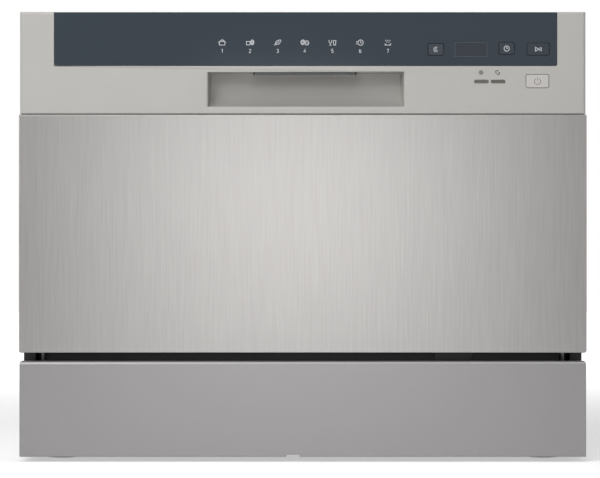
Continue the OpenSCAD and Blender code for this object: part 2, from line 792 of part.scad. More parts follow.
// A closed loop of wire with rounded corners at height z.
module rim(hx, hy, z, d) {
    r = 22;
    translate([0, 0, z]) for (sx = [-1, 1], sy = [-1, 1]) {
        translate([sx * (hx - r), sy * (hy - r), 0])
            rotate([0, 0, sx > 0 ? (sy > 0 ? 0 : -90) : (sy > 0 ? 90 : 180)])
                rotate_extrude(angle = 90) translate([r, 0]) circle(d = d);
    }
    for (s = [-1, 1]) {
        rod_x(r - hx, hx - r, s * hy, z, d);
        rod_y(r - hy, hy - r, s * hx, z, d);
    }
}

// The wire basket: floor wires both ways, two rims, tines for plates and the roller carriers.
module basket() {
    leg_x = basket_x - 2 * layer;
    leg_y = basket_y - layer;
    carrier_x = basket_x - layer + wire_d / 2 + 0.1;
    color("gainsboro") {
        for (y = [-150 : 30 : 150])
            translate([0, y, 0]) cross_wire(leg_x, basket_z, rim_z + 2);
        for (x = [-176 : 44 : 176])
            translate([x, 0, 0]) rotate([0, 0, 90]) cross_wire(leg_y - layer, floor_2, rim_z + 2);
        rim(basket_x - layer, basket_y - layer, rim_z, wire_d);
        rim(basket_x - layer, basket_y - layer, mid_rim_z, wire_d);
        // two rows of tines on their own bars
        for (x = [-66, 22]) {
            rod_y(-140, 140, x, floor_2 + layer, wire_d);
            for (i = [0 : tine_count - 1]) let (y = -135 + 270 * i / (tine_count - 1))
                rod_z(floor_2 + layer + 2.05, tine_top, x, y, 3);
        }
        // roller carriers: a plate hung outside the rims at each roller, with its axle
        both_sides() for (y = roller_ys) {
            difference() {
                along_x(carrier_x, carrier_x + 3) polygon(concat(arc(y, roller_z, 9, 180, 360),
                    [[y + 14, 190], [y + 14, rim_z - 4], [y - 14, rim_z - 4], [y - 14, 190]]));
                along_x(carrier_x - 1, carrier_x + 4)
                    polygon(rounded(y - 8, y + 8, 218, 246, 3));
            }
            rod_x(carrier_x + 3, roller_x + 6, y, roller_z, 6);
        }
        // shelf clips on the left rim
        for (y = [-92, 92]) difference() {
            along_y(y - 3, y + 3) polygon(rounded(shelf_x - 5, shelf_x + 5,
                rim_z + wire_d / 2 + 0.05, shelf_z + 5, 2));
            rod_y(y - 4, y + 4, shelf_x, shelf_z, 4.1);
        }
    }
}

// A roller: a rim, a thinner web and a hub, running on its axle.
module roller(s, y) {
    fit = 0.1;
    translate([s * roller_x, y, roller_z]) rotate([0, 90, 0]) color("gray") difference() {
        translate([0, 0, -roller_w / 2]) cylinder(d = roller_d, h = roller_w);
        for (z = [1.5, -1.5 - roller_w]) translate([0, 0, z]) difference() {
            cylinder(d = roller_d - 5, h = roller_w);
            translate([0, 0, -1]) cylinder(d = 11, h = roller_w + 2);
        }
        translate([0, 0, -roller_w]) cylinder(d = 6 + fit, h = 2 * roller_w);
    }
}
module roller_front_left() { roller(-1, roller_ys[0]); }
module roller_front_right() { roller(1, roller_ys[0]); }
module roller_rear_left() { roller(-1, roller_ys[1]); }
module roller_rear_right() { roller(1, roller_ys[1]); }

// The cup shelf: a pivot rod, a frame and cross wires, which folds up against the left side.
shelf_x = -basket_x + 11;
shelf_z = rim_z + 9;
module cup_shelf() {
    reach = 92;
    x1 = shelf_x + reach;
    color("gainsboro") {
        rod_y(-104, 104, shelf_x, shelf_z, 4);
        for (y = [-84 : 24 : 84])
            rod_x(shelf_x + 2.02, x1 - 2.02, y, shelf_z, 3);
        for (y = [-100, 100]) rod_x(shelf_x + 2.02, x1 - 2.02, y, shelf_z, 4);
        rod_y(-104, 104, x1, shelf_z, 4);
        rod_y(-96, 96, shelf_x + reach / 2, shelf_z + 3.05, 3);
    }
}

// The cutlery basket: slotted panels clipped together on a slotted floor, with two dividers.
clip_gap = 0.04;                // where two panels of the cutlery basket meet
cutlery_z = floor_2 + wire_d / 2 + fit_gap;
cutlery_top = cutlery_z + 104;
divider_at = [cutlery[2] + 57, cutlery[2] + 115];
module cutlery_basket() {
    x0 = cutlery[0];
    x1 = cutlery[1];
    y0 = cutlery[2];
    y1 = cutlery[3];
    z0 = cutlery_z;
    z1 = cutlery_top;
    wall = 2;
    slot = 12;
    pitch = 17;
    rows = [0 : 31 : 62];
    edge_r = 0.9;
    inner_x0 = x0 + wall + clip_gap;
    inner_x1 = x1 - wall - clip_gap;
    color("lightslategray") {
        difference() {
            along_z(z0, z0 + wall) polygon(rounded(x0, x1, y0, y1, 2));
            for (i = [0 : 8], k = [0 : 3]) let (x = x0 + 8 + pitch * k, y = y0 + 11 + pitch * i)
                block(x, x + slot - 1, y, y + slot, z0 - 1, z0 + wall + 1);
        }
        for (x = [x0, x1 - wall]) difference() {
            along_z(z0 + wall + clip_gap, z1) polygon(rounded(x, x + wall, y0, y1, edge_r, 3));
            for (i = [0 : 8], k = rows) let (y = y0 + 11 + pitch * i)
                along_x(x - 1, x + wall + 1)
                    polygon(rounded(y, y + slot, z0 + 8 + k, z0 + 33 + k, 3, 2));
        }
        for (y = [y0, y1 - wall]) difference() {
            along_z(z0 + wall + clip_gap, z1)
                polygon(rounded(inner_x0, inner_x1, y, y + wall, edge_r, 3));
            for (i = [0 : 2], k = rows) let (x = x0 + 16 + pitch * i)
                along_y(y - 1, y + wall + 1)
                    polygon(rounded(x, x + slot, z0 + 8 + k, z0 + 33 + k, 3, 2));
        }
        for (y = divider_at) block(inner_x0, inner_x1, y - 1, y + 1, z0 + wall + clip_gap, z1 - 8);
    }
}

// The grip that lifts the cutlery basket: a plate held between the dividers, with a finger hole.
module cutlery_grip() {
    x = (cutlery[0] + cutlery[1]) / 2;
    y0 = divider_at[0] + 1 + clip_gap;
    y1 = divider_at[1] - 1 - clip_gap;
    z = cutlery_top;
    color("lightslategray") along_x(x - 1.5, x + 1.5) difference() {
        polygon([[y0, z - 30], [y1, z - 30], [y1, z], [y1 - 10, z + 16], [y0 + 10, z + 16],
            [y0, z]]);
        polygon(rounded(y0 + 12, y1 - 12, z - 12, z + 10, 6));
    }
}

// ---- door ----

liner_t = 1.5;
liner_front = liner_y - liner_t;
emboss = [-214, 214, 152, 396]; // pressed field of the liner
emboss_depth = 6;
dispenser_at = [30, 262];
dispenser_size = [150, 124];
rinse_at = [dispenser_at[0] + 42, dispenser_at[1] + 20];

// The steel door panel: a folded sheet with round lower corners and returns on all four edges.
module door_panel() {
    s = sheet_t;
    top = seam_z - 0.5;
    r = 2.5;
    color("silver") {
        along_y(skin_y, skin_y + s) polygon(concat(
            arc(half_w - r, door_bottom + r, r, -90, 0), [[half_w, top], [-half_w, top]],
            arc(r - half_w, door_bottom + r, r, 180, 270)));
        both_sides() {
            block(half_w - s, half_w, skin_y, front_y + 28, door_bottom + r, top);
            block(half_w - 8, half_w, front_y + 27, front_y + 28, door_bottom + 12, top);
        }
        block(-244, 244, skin_y, skin_y + 10, door_bottom, door_bottom + s);
        block(s - half_w, half_w - s, skin_y, skin_y + 10, top - s, top);
        // two stiffeners behind the skin
        for (z = [180, 262]) along_x(-215, 215) polygon([[skin_y + s, z], [skin_y + 9, z + 6],
            [skin_y + 9, z + 18], [skin_y + s, z + 24], [skin_y + s, z + 22.5],
            [skin_y + 8, z + 17], [skin_y + 8, z + 7], [skin_y + s, z + 1.5]]);
    }
}

// The liner: a pressed sheet with a sunk field, side returns, hinge notches at its lower corners
// and the dispenser's and latch's cut-outs.
module door_liner() {
    x1 = half_w - 3;
    z0 = liner_low;
    z1 = panel_top - 5;
    y1 = liner_front - emboss_depth;
    f = emboss;
    d = dispenser_at;
    color("gainsboro") difference() {
        union() {
            difference() {
                along_y(liner_front, liner_y) polygon(rounded(-x1, x1, z0, z1, 3));
                along_y(liner_front - 1, liner_y + 1) polygon(rounded(f[0], f[1], f[2], f[3], 22));
            }
            difference() {
                along_y(y1, liner_front) polygon(
                    rounded(f[0] - 1, f[1] + 1, f[2] - 1, f[3] + 1, 23));
                along_y(y1 + liner_t, liner_y) polygon(rounded(f[0], f[1], f[2], f[3], 22));
            }
            // returns on the sides and the top
            both_sides() block(x1 - liner_t, x1, front_y + 29, liner_y, z0 + 3, z1 - 3);
            block(-x1 + 3, x1 - 3, liner_front - 12, liner_front, z1 - liner_t, z1);
            // bosses for the liner's screws
            for (p = liner_screws) rod_y(liner_front - 8, liner_front, p[0], p[1], 9);
        }
        both_sides() block(hinge_zone[0], hinge_zone[1], front_y + 20, liner_y + 1, z0 - 1, 133);
        along_y(y1 - 1, liner_y) polygon(rounded(d[0] - dispenser_size[0] / 2 + 5,
            d[0] + dispenser_size[0] / 2 - 5, d[1] - dispenser_size[1] / 2 + 5,
            d[1] + dispenser_size[1] / 2 - 5, 6));
        along_y(liner_front - 1, liner_y + 1)
            polygon(rounded(-7, 7, strike_z - 5, strike_z + 9, 2));
        for (p = liner_screws) rod_y(liner_front - 9, liner_y + 1, p[0], p[1], 3.5);
    }
}
liner_screws = [[-219, 142], [219, 142], [-222, 268], [222, 268], [-225, 422], [225, 422],
    [-90, 422], [90, 422]];

// Screws of the liner: pan heads with a cross slot and a plain shank.
module door_screws() {
    color("silver") for (p = liner_screws) difference() {
        union() {
            rod_y(liner_front - 8, liner_y + 0.1, p[0], p[1], 3.4);
            rod_y(liner_y + 0.05, liner_y + 2, p[0], p[1], 7);
        }
        for (a = [0, 90]) translate([p[0], liner_y + 2, p[1]]) rotate([0, a, 0])
            cube([5, 1.6, 1], center = true);
    }
}

// Outline of the hand recess in Y-Z, grown by e: a quarter-round scoop under a flat roof.
function scoop(e) = let (cy = front_y - 1, cz = recess_low + scoop_r) concat(
    [[front_y - 10, recess_high + e], [front_y - 10, recess_low - e], [cy, recess_low - e]],
    arc(cy, cz, scoop_r + e, -90, 0, 12), [[cy + scoop_r + e, recess_high + e]]);

// The recess itself, grown by e: the scoop between side walls that draw in towards the back.
module hand_recess(e) {
    w = recess_w / 2 + e;
    draft = 3;
    intersection() {
        along_x(recess_x - w, recess_x + w) polygon(scoop(e));
        along_z(recess_low - e, recess_high + e) polygon([[recess_x - w, front_y - 10],
            [recess_x + w, front_y - 10], [recess_x + w, skin_y],
            [recess_x + w - draft, front_y + 34], [recess_x - w + draft, front_y + 34],
            [recess_x - w, skin_y]]);
        along_y(front_y - 10, front_y + 40) polygon(rounded(recess_x - w, recess_x + w,
            recess_low - e, recess_high + e, 1 + e));
    }
}

// The bevel round the recess's mouth: a frustum that cuts its floor's and sides' front edges.
module mouth_bevel() {
    w = recess_w / 2;
    c = 0.9;
    intersection() {
        along_x(recess_x - w - c - 1, recess_x + w + c + 1) polygon([
            [skin_y - 1, recess_low - c - 1], [skin_y + c, recess_low],
            [skin_y + c, recess_high], [skin_y - 1, recess_high]]);
        along_z(recess_low - c - 1, recess_high) polygon([[recess_x - w - c - 1, skin_y - 1],
            [recess_x + w + c + 1, skin_y - 1], [recess_x + w, skin_y + c],
            [recess_x - w, skin_y + c]]);
    }
}

// Buttons and window: [left, right, low, high] on the control panel's face.
power_at = [216.3, 238.3, 362.5, 375.2];
program_at = [121.5, 136.4, 393.9, 405.2];
delay_at = [190.1, 204.8, 394.8, 406];
start_at = [217.3, 238.7, 394, 405.5];
window_at = [147, 178.7, 392.2, 406.9];
lens_at = [[166.1, 179.9, 367, 369.9], [182.3, 196, 367, 369.9]];
strip_t = 2.7;
strip_y = front_y + 0.3;        // front face of the strip
pocket_y = strip_y + strip_t;   // floor of the strip's pocket
lever_slot = [-49, 54];         // ends of the slot that the latch lever hangs through

// A hole through the panel's front wall, e larger all round than the piece that fills it.
module face_hole(at, e, y1) {
    along_y(front_y - 2, y1) polygon(rounded(at[0] - e, at[1] + e, at[2] - e, at[3] + e, 1.5, 3));
}

// The control panel: a moulded shell with rounded edges, a pocket for the strip, the hand recess
// and the holes for its buttons.
module control_panel() {
    x1 = half_w - panel_inset;
    y2 = front_y + 27;
    r = 3;
    plan = concat(arc(x1 - r, skin_y + r, r, -90, 0), [[x1, y2], [-x1, y2]],
        arc(r - x1, skin_y + r, r, 180, 270));
    inner = concat(arc(x1 - r, skin_y + r, r - wall_t, -90, 0),
        [[x1 - wall_t, y2 + 1], [wall_t - x1, y2 + 1]],
        arc(r - x1, skin_y + r, r - wall_t, 180, 270));
    profile = concat([[y2, seam_z], [y2, panel_top]],
        arc(skin_y + 2, panel_top - 2, 2, 90, 180), [[skin_y, seam_z + 1], [skin_y + 1, seam_z]]);
    color("silver") difference() {
        union() {
            difference() {
                intersection() {
                    along_z(seam_z, panel_top) polygon(plan);
                    along_x(-x1, x1) polygon(profile);
                }
                along_z(seam_z - 1, panel_top - wall_t) polygon(inner);
            }
            // wall behind the strip's pocket
            block(strip_left - 3, strip_right + 3, skin_y + 1, pocket_y + 2, strip_low - 3,
                panel_top - 1);
            // recess shell and the rim that stiffens its mouth
            hand_recess(2);
            // upright ribs behind the face, left of the recess
            for (x = [-240 : 40 : -120])
                block(x - 1, x + 1, skin_y + 1, y2 - 2, seam_z + 1.5, strip_low - 4);
        }
        hand_recess(0);
        mouth_bevel();
        // everything in front of the face, which the grown recess would fill
        block(-half_w, half_w, front_y - 20, skin_y, seam_z - 5, body_h);
        along_y(front_y - 1, pocket_y) polygon([[strip_left - 0.4, strip_low - 0.4],
            [strip_right + 0.4, strip_low - 0.4], [strip_right + 0.4, body_h],
            [strip_left - 0.4, body_h]]);
        block(lever_slot[0], lever_slot[1], front_y + 6, front_y + 28, recess_high - 0.5,
            recess_high + 3);
        for (b = [power_at, program_at, delay_at, start_at]) face_hole(b, fit_gap, front_y + 15);
        for (b = lens_at) face_hole(b, 0.15, front_y + 15);
        face_hole(window_at, -1.5, front_y + 15);
    }
}

// The glossy strip, with the holes for its buttons and window.
module display_strip() {
    color("darkslategray") difference() {
        along_y(strip_y, pocket_y) polygon(concat([[strip_right, panel_top - 0.4],
            [strip_left, panel_top - 0.4]], arc(strip_left + 2, strip_low + 2, 2, 180, 270),
            arc(strip_right - 2, strip_low + 2, 2, 270, 360)));
        for (b = [program_at, delay_at, start_at]) face_hole(b, fit_gap, front_y + 15);
        face_hole(window_at, 0.1, front_y + 15);
    }
}

// The display's window: a smoked pane that fills its hole in the strip.
module display_window() {
    color("black") along_y(strip_y + 0.05, pocket_y)
        polygon(rounded(window_at[0], window_at[1], window_at[2], window_at[3], 1.5, 3));
}

// A push button: a cap with softened edges, a flange that holds it in, and a stem.
module button(at, flange_y) {
    x = (at[0] + at[1]) / 2;
    z = (at[2] + at[3]) / 2;
    along_y(front_y, front_y + 0.4)
        polygon(rounded(at[0] + 0.4, at[1] - 0.4, at[2] + 0.4, at[3] - 0.4, 1.2, 3));
    along_y(front_y + 0.4, flange_y) polygon(rounded(at[0], at[1], at[2], at[3], 1.5, 3));
    along_y(flange_y, flange_y + 1)
        polygon(rounded(at[0] - 1.4, at[1] + 1.4, at[2] - 1.4, at[3] + 1.4, 2, 3));
    rod_y(flange_y + 1, board_y - 3.6 - button_travel, x, z, 4);
}
board_y = front_y + 14;         // front face of the control board
module power_button() { color("silver") button(power_at, skin_y + wall_t + fit_gap); }
module program_button() { color("darkslategray") button(program_at, pocket_y + 2 + fit_gap); }
module delay_button() { color("darkslategray") button(delay_at, pocket_y + 2 + fit_gap); }
module start_button() { color("darkslategray") button(start_at, pocket_y + 2 + fit_gap); }

// The two indicator lenses: light pipes flush with the face.
module indicator_lenses() {
    color("dimgray") for (b = lens_at) {
        along_y(skin_y - 0.1, skin_y + wall_t)
            polygon(rounded(b[0], b[1], b[2], b[3], 1.2, 3));
        block(b[0] + 4, b[1] - 4, skin_y + wall_t, board_y - 1, b[2] + 0.4, b[3] - 0.4);
    }
}

// The control board: a bare board with a switch behind each button and a few tall parts.
module control_board() {
    color("green") {
        difference() {
            block(-92, 248, board_y, board_y + 1.6, 394, 430);
            for (x = [-86, 80, 242]) rod_y(board_y - 1, board_y + 3, x, 424, 4);
        }
        block(110, 248, board_y, board_y + 1.6, 358, 394);
        for (b = [power_at, program_at, delay_at, start_at]) let (x = (b[0] + b[1]) / 2,
            z = (b[2] + b[3]) / 2) {
            block(x - 3, x + 3, board_y - 2.4, board_y, z - 3, z + 3);
            rod_y(board_y - 3.3, board_y - 2.4, x, z, 3);
        }
        block(149, 177, board_y - 5, board_y, 392.5, 406.5);
        block(180, 205, board_y + 1.6, board_y + 12, 408, 426);
        block(212, 236, board_y + 1.6, board_y + 9, 404, 426);
    }
}

// ---- latch ----

lever_pivot = [front_y + 33, 404];
pawl_pivot = [front_y + 31, strike_z];
cheek_x = 20;

// The latch lever: a flange that the fingers pull, a stepped web and a hub on two short pivots.
module latch_handle() {
    y = lever_pivot[0];
    z = lever_pivot[1];
    f = front_y + 21;
    color("silver") {
        along_x(lever_slot[0] + 2.5, lever_slot[1] - 2.5) polygon([[f, recess_high - 3.1],
            [f + 1, recess_high - 3.6], [f + 2.5, recess_high - 3.1], [f + 2.5, z - 8],
            [f, z - 8]]);
        along_x(-17, 17) polygon([[f, z - 10], [f + 2.5, z - 10], [y, z - 2.5], [y, z + 2.5],
            [f, z - 6]]);
        rod_x(-19, 19, y, z, 7);
        rod_x(-21.9, 21.9, y, z, 4);
        along_x(-3.5, 3.5) polygon([[y - 2.5, z], [y + 2.5, z], [y + 1.5, z + 12], [y - 1.5, z + 12]]);
    }
}

// The latch housing: two cheeks on a back plate fixed inside the liner, with the pawl's pin.
module latch_housing() {
    fit = 0.1;
    z0 = 397;
    z1 = 429;
    color("black") difference() {
        union() {
            both_sides() block(cheek_x, cheek_x + 2.5, front_y + 27.5, liner_front, z0, z1);
            difference() {
                block(-34, 34, liner_front - 1.5, liner_front, z0, z1);
                along_y(liner_front - 3, liner_y) polygon(rounded(-8, 8, strike_z - 12, z1 + 5, 1));
            }
            rod_x(-cheek_x - 0.5, cheek_x + 0.5, pawl_pivot[0], pawl_pivot[1], 4);
        }
        rod_x(-30, 30, lever_pivot[0], lever_pivot[1], 4 + fit);
    }
}

// The pawl: a bored hub, a tail that the lever pushes, and a hooked nose behind the liner.
module latch_pawl() {
    y = pawl_pivot[0];
    z = pawl_pivot[1];
    fit = 0.1;
    color("gray") difference() {
        union() {
            rod_x(-5, 5, y, z, 8);
            along_x(-3, 3) polygon([[y + 5.5, z - 9], [y + 8, z - 9], [y + 9, z], [y + 5.5, z]]);
            along_x(-5, 5) polygon([[y, z - 3], [y + 16, z - 3], [y + 21, z - 1], [y + 21.5, z + 1],
                [y + 19, z + 3.2], [y + 17.5, z + 3.2], [y + 16.5, z + 1.5], [y, z + 3]]);
        }
        rod_x(-6, 6, y, z, 4 + fit);
    }
}

// The strike: a plate behind the collar with a window for the pawl's nose.
module latch_strike() {
    y0 = collar_y + sheet_t;
    color("gray") difference() {
        union() {
            block(-26, 26, y0, y0 + 1.8, 406.5, 434);
            block(-26, 26, y0, y0 + 9, 432.5, 434);
        }
        along_y(y0 - 1, y0 + 3) polygon(strike_window);
        for (x = [-19, 19]) rod_y(y0 - 1, y0 + 3, x, strike_z, 4);
    }
}

// ---- dispenser ----

chamber = [-66, 2, -8, 50];     // detergent chamber, from the dispenser's centre

// The dispenser: a moulded tray in the liner with a detergent chamber, the rinse-aid tank's
// filler and the rails that the lid slides down on.
module dispenser() {
    x = dispenser_at[0];
    z = dispenser_at[1];
    hx = dispenser_size[0] / 2;
    hz = dispenser_size[1] / 2;
    face = liner_front - emboss_depth + liner_t;
    color("white") difference() {
        union() {
            along_y(face, face + 2) polygon(rounded(x - hx, x + hx, z - hz, z + hz, 10));
            along_y(face - 24, face) polygon(rounded(x - hx + 6, x + hx - 6, z - hz + 6,
                z + hz - 6, 5));
            // rails for the lid, on both sides of the chamber
            for (px = [x + chamber[0] - 4, x + chamber[1] + 4])
                block(px - 1.5, px + 1.5, face + 2, face + 4.4, z - hz + 4, z + hz - 5);
        }
        along_y(face - 20, face + 3) polygon(rounded(x + chamber[0], x + chamber[1],
            z + chamber[2], z + chamber[3], 6));
        rod_y(face - 20, face + 3, rinse_at[0], rinse_at[1], 24);
    }
}

// The lid: a ribbed plate between the rails that slides down off the chamber.
module dispenser_lid() {
    x = dispenser_at[0];
    z = dispenser_at[1];
    face = liner_front - emboss_depth + liner_t + 2;
    color("whitesmoke") {
        along_y(face + 0.3, face + 2) polygon(rounded(x + chamber[0] - 2, x + chamber[1] + 2,
            z + chamber[2] - 2, z + chamber[3] + 3, 4));
        for (i = [0 : 4]) block(x - 54, x - 10, face + 1.9, face + 2.8,
            z + 4 + 6 * i, z + 6 + 6 * i);
    }
}

// The rinse-aid cap: a bayonet cap with a grip bar.
module rinse_cap() {
    face = liner_front - emboss_depth + liner_t + 2;
    color("lightgray") {
        rod_y(face - 10, face + 0.3, rinse_at[0], rinse_at[1], 23.6);
        rod_y(face + 0.3, face + 1.6, rinse_at[0], rinse_at[1], 30);
        block(rinse_at[0] - 12, rinse_at[0] + 12, face + 1.6, face + 5.5,
            rinse_at[1] - 2, rinse_at[1] + 2);
    }
}

side_panel_left();
side_panel_right();
top_cover();
rear_panel();
base_tray();
kick_plate();
foot_front_left();
foot_front_right();
foot_rear_left();
foot_rear_right();
tub();
tub_gasket();
sill_seal();
front_crossbar();
hinge_brackets();
hinge_pins();
door_springs();
hinge_arms();
sump();
wash_pump();
drain_pump();
flow_heater();
water_softener();
salt_cap();
inlet_valve();
drain_outlet();
cord_gland();
air_break();
leak_float();
fine_filter();
coarse_filter();
spray_hub();
spray_arm();
basket();
roller_front_left();
roller_front_right();
roller_rear_left();
roller_rear_right();
cup_shelf();
cutlery_basket();
cutlery_grip();
door_panel();
door_liner();
control_panel();
display_strip();
display_window();
power_button();
program_button();
delay_button();
start_button();
indicator_lenses();
latch_handle();
latch_housing();
latch_pawl();
latch_strike();
dispenser();
dispenser_lid();
rinse_cap();
control_board();
door_screws();
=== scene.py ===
# Countertop dishwasher: finishes, softened edges, printed symbols, a lip and screws on the solids.
import bmesh
import bpy
import json
import math
import numpy as np
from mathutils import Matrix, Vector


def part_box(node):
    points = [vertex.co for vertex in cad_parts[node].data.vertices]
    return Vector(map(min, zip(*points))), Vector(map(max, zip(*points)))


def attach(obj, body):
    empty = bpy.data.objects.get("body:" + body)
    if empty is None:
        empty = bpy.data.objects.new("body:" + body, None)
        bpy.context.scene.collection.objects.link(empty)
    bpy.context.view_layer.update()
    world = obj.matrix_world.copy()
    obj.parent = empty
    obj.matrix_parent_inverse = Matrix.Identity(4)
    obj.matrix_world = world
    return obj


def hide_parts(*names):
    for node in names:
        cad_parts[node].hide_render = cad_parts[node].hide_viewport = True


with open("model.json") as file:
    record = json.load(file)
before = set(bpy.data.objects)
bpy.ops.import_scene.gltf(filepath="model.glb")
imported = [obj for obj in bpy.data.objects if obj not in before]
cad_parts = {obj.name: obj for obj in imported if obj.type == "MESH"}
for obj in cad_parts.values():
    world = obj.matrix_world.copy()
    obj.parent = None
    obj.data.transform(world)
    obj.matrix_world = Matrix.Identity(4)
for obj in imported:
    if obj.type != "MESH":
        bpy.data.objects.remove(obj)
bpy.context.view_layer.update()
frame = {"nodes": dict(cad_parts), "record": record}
nodes = frame["nodes"]
mm = 0.001
print("frame loaded:", len(nodes), "nodes")


# ---- colours and node building ----

def toLinear(hexColour):
    # sRGB hex to linear red, green, blue: the standard two-part curve
    parts = np.array([int(hexColour[i:i + 2], 16) for i in (1, 3, 5)]) / 255
    curved = np.where(parts <= 0.04045, parts / 12.92, ((parts + 0.055) / 1.055) ** 2.4)
    return (*curved.tolist(), 1.0)


def addNode(tree, kind, settings=None, links=None):
    # one shader node: settings are attributes or input values, and links give the socket that
    # feeds each input, by the input's name or number
    node = tree.nodes.new(kind)
    for name, value in (settings or {}).items():
        if name in node.inputs:
            node.inputs[name].default_value = value
        else:
            setattr(node, name, value)
    for name, socket in (links or {}).items():
        tree.links.new(socket, node.inputs[name])
    return node


def addObject(name, data):
    obj = bpy.data.objects.new(name, data)
    bpy.context.scene.collection.objects.link(obj)
    return obj


def newMaterial(name, shaderValues):
    # a material with its Principled shader set to constants, and the shader and tree returned
    material = bpy.data.materials.new(name)
    material.use_nodes = True
    tree = material.node_tree
    shader = tree.nodes["Principled BSDF"]
    for socket, value in shaderValues.items():
        shader.inputs[socket].default_value = value
    return material, tree, shader


def objectPoint(tree, scale=(1, 1, 1)):
    # Object coordinates, stretched so that one unit is the size the pattern needs
    place = addNode(tree, "ShaderNodeTexCoord").outputs["Object"]
    return addNode(tree, "ShaderNodeMapping", {"Scale": scale}, {"Vector": place}).outputs[0]


def noise(tree, sizeMm, detail=2.0, fray=0.5):
    # a cloud or a grain whose lumps are about sizeMm across; fray is the weight of its finest part
    return addNode(tree, "ShaderNodeTexNoise",
                   {"Scale": 1 / (sizeMm * mm), "Detail": detail, "Roughness": fray},
                   {"Vector": objectPoint(tree)}).outputs["Fac"]


def grainBump(tree, shader, height, strength, depthMm):
    # a bump whose full height is depthMm
    bump = addNode(tree, "ShaderNodeBump", {"Strength": strength, "Distance": depthMm * mm},
                   {"Height": height})
    tree.links.new(bump.outputs[0], shader.inputs["Normal"])


def varyColour(tree, shader, factor, hexLow, hexHigh):
    # colour runs from one tone to the other with the factor
    ramp = addNode(tree, "ShaderNodeMix", {"data_type": "RGBA"})
    colours = [s for s in ramp.inputs if s.type == "RGBA"]
    colours[0].default_value = toLinear(hexLow)
    colours[1].default_value = toLinear(hexHigh)
    tree.links.new(factor, ramp.inputs["Factor"])
    result = [s for s in ramp.outputs if s.type == "RGBA"][0]
    tree.links.new(result, shader.inputs["Base Color"])


def varyRoughness(tree, shader, factor, low, high):
    # roughness runs from low to high with the factor
    span = addNode(tree, "ShaderNodeMapRange", {"To Min": low, "To Max": high},
                   {"Value": factor})
    tree.links.new(span.outputs[0], shader.inputs["Roughness"])


# values a look may leave out; depth is the bump's height as a part of the grain's or line's width
plasticDefaults = dict(ior=1.5, metallic=0.0, coat=0.0, coatRough=0.03, sheen=0.5, cloudMm=60,
                       detail=3.0, fray=0.6, spread=0.05, bump=0.25, depth=0.12)
steelDefaults = dict(anisotropic=0.3, detail=4.0, fray=0.65, spread=0.05, bump=0.1, depth=0.05,
                     tangent=None)


def mouldedPlastic(name, look):
    # injection-moulded plastic: spark-eroded grain gives a fine even sheen, with a faint cloud
    # of tone from the melt's flow
    look = dict(plasticDefaults, **look)
    material, tree, shader = newMaterial(name, {
        "IOR": look["ior"], "Metallic": look["metallic"], "Coat Weight": look["coat"],
        "Coat Roughness": look["coatRough"], "Specular IOR Level": look["sheen"]})
    grain = noise(tree, look["grainMm"], look["detail"], look["fray"])
    varyColour(tree, shader, noise(tree, look["cloudMm"]), look["low"], look["high"])
    varyRoughness(tree, shader, grain, look["rough"] - look["spread"],
                  look["rough"] + look["spread"])
    grainBump(tree, shader, grain, look["bump"], look["grainMm"] * look["depth"])
    return material


def rolledSteel(name, look):
    # cold-rolled or drawn sheet: long faint roll lines along one axis under a soft reflection
    look = dict(steelDefaults, **look)
    stretch = [1 / (look["lineMm"] * mm)] * 3
    stretch["xyz".index(look["along"])] = 1 / (look["runMm"] * mm)
    material, tree, shader = newMaterial(name, {"Metallic": 1.0,
                                                "Anisotropic": look["anisotropic"]})
    lines = addNode(tree, "ShaderNodeTexNoise",
                    {"Scale": 1.0, "Detail": look["detail"], "Roughness": look["fray"]},
                    {"Vector": objectPoint(tree, stretch)}).outputs["Fac"]
    varyColour(tree, shader, lines, look["low"], look["high"])
    varyRoughness(tree, shader, lines, look["rough"] - look["spread"],
                  look["rough"] + look["spread"])
    grainBump(tree, shader, lines, look["bump"], look["lineMm"] * look["depth"])
    if look["tangent"]:
        tangent = addNode(tree, "ShaderNodeTangent", {"direction_type": "RADIAL",
                                                      "axis": look["tangent"]})
        tree.links.new(tangent.outputs[0], shader.inputs["Tangent"])
    return material


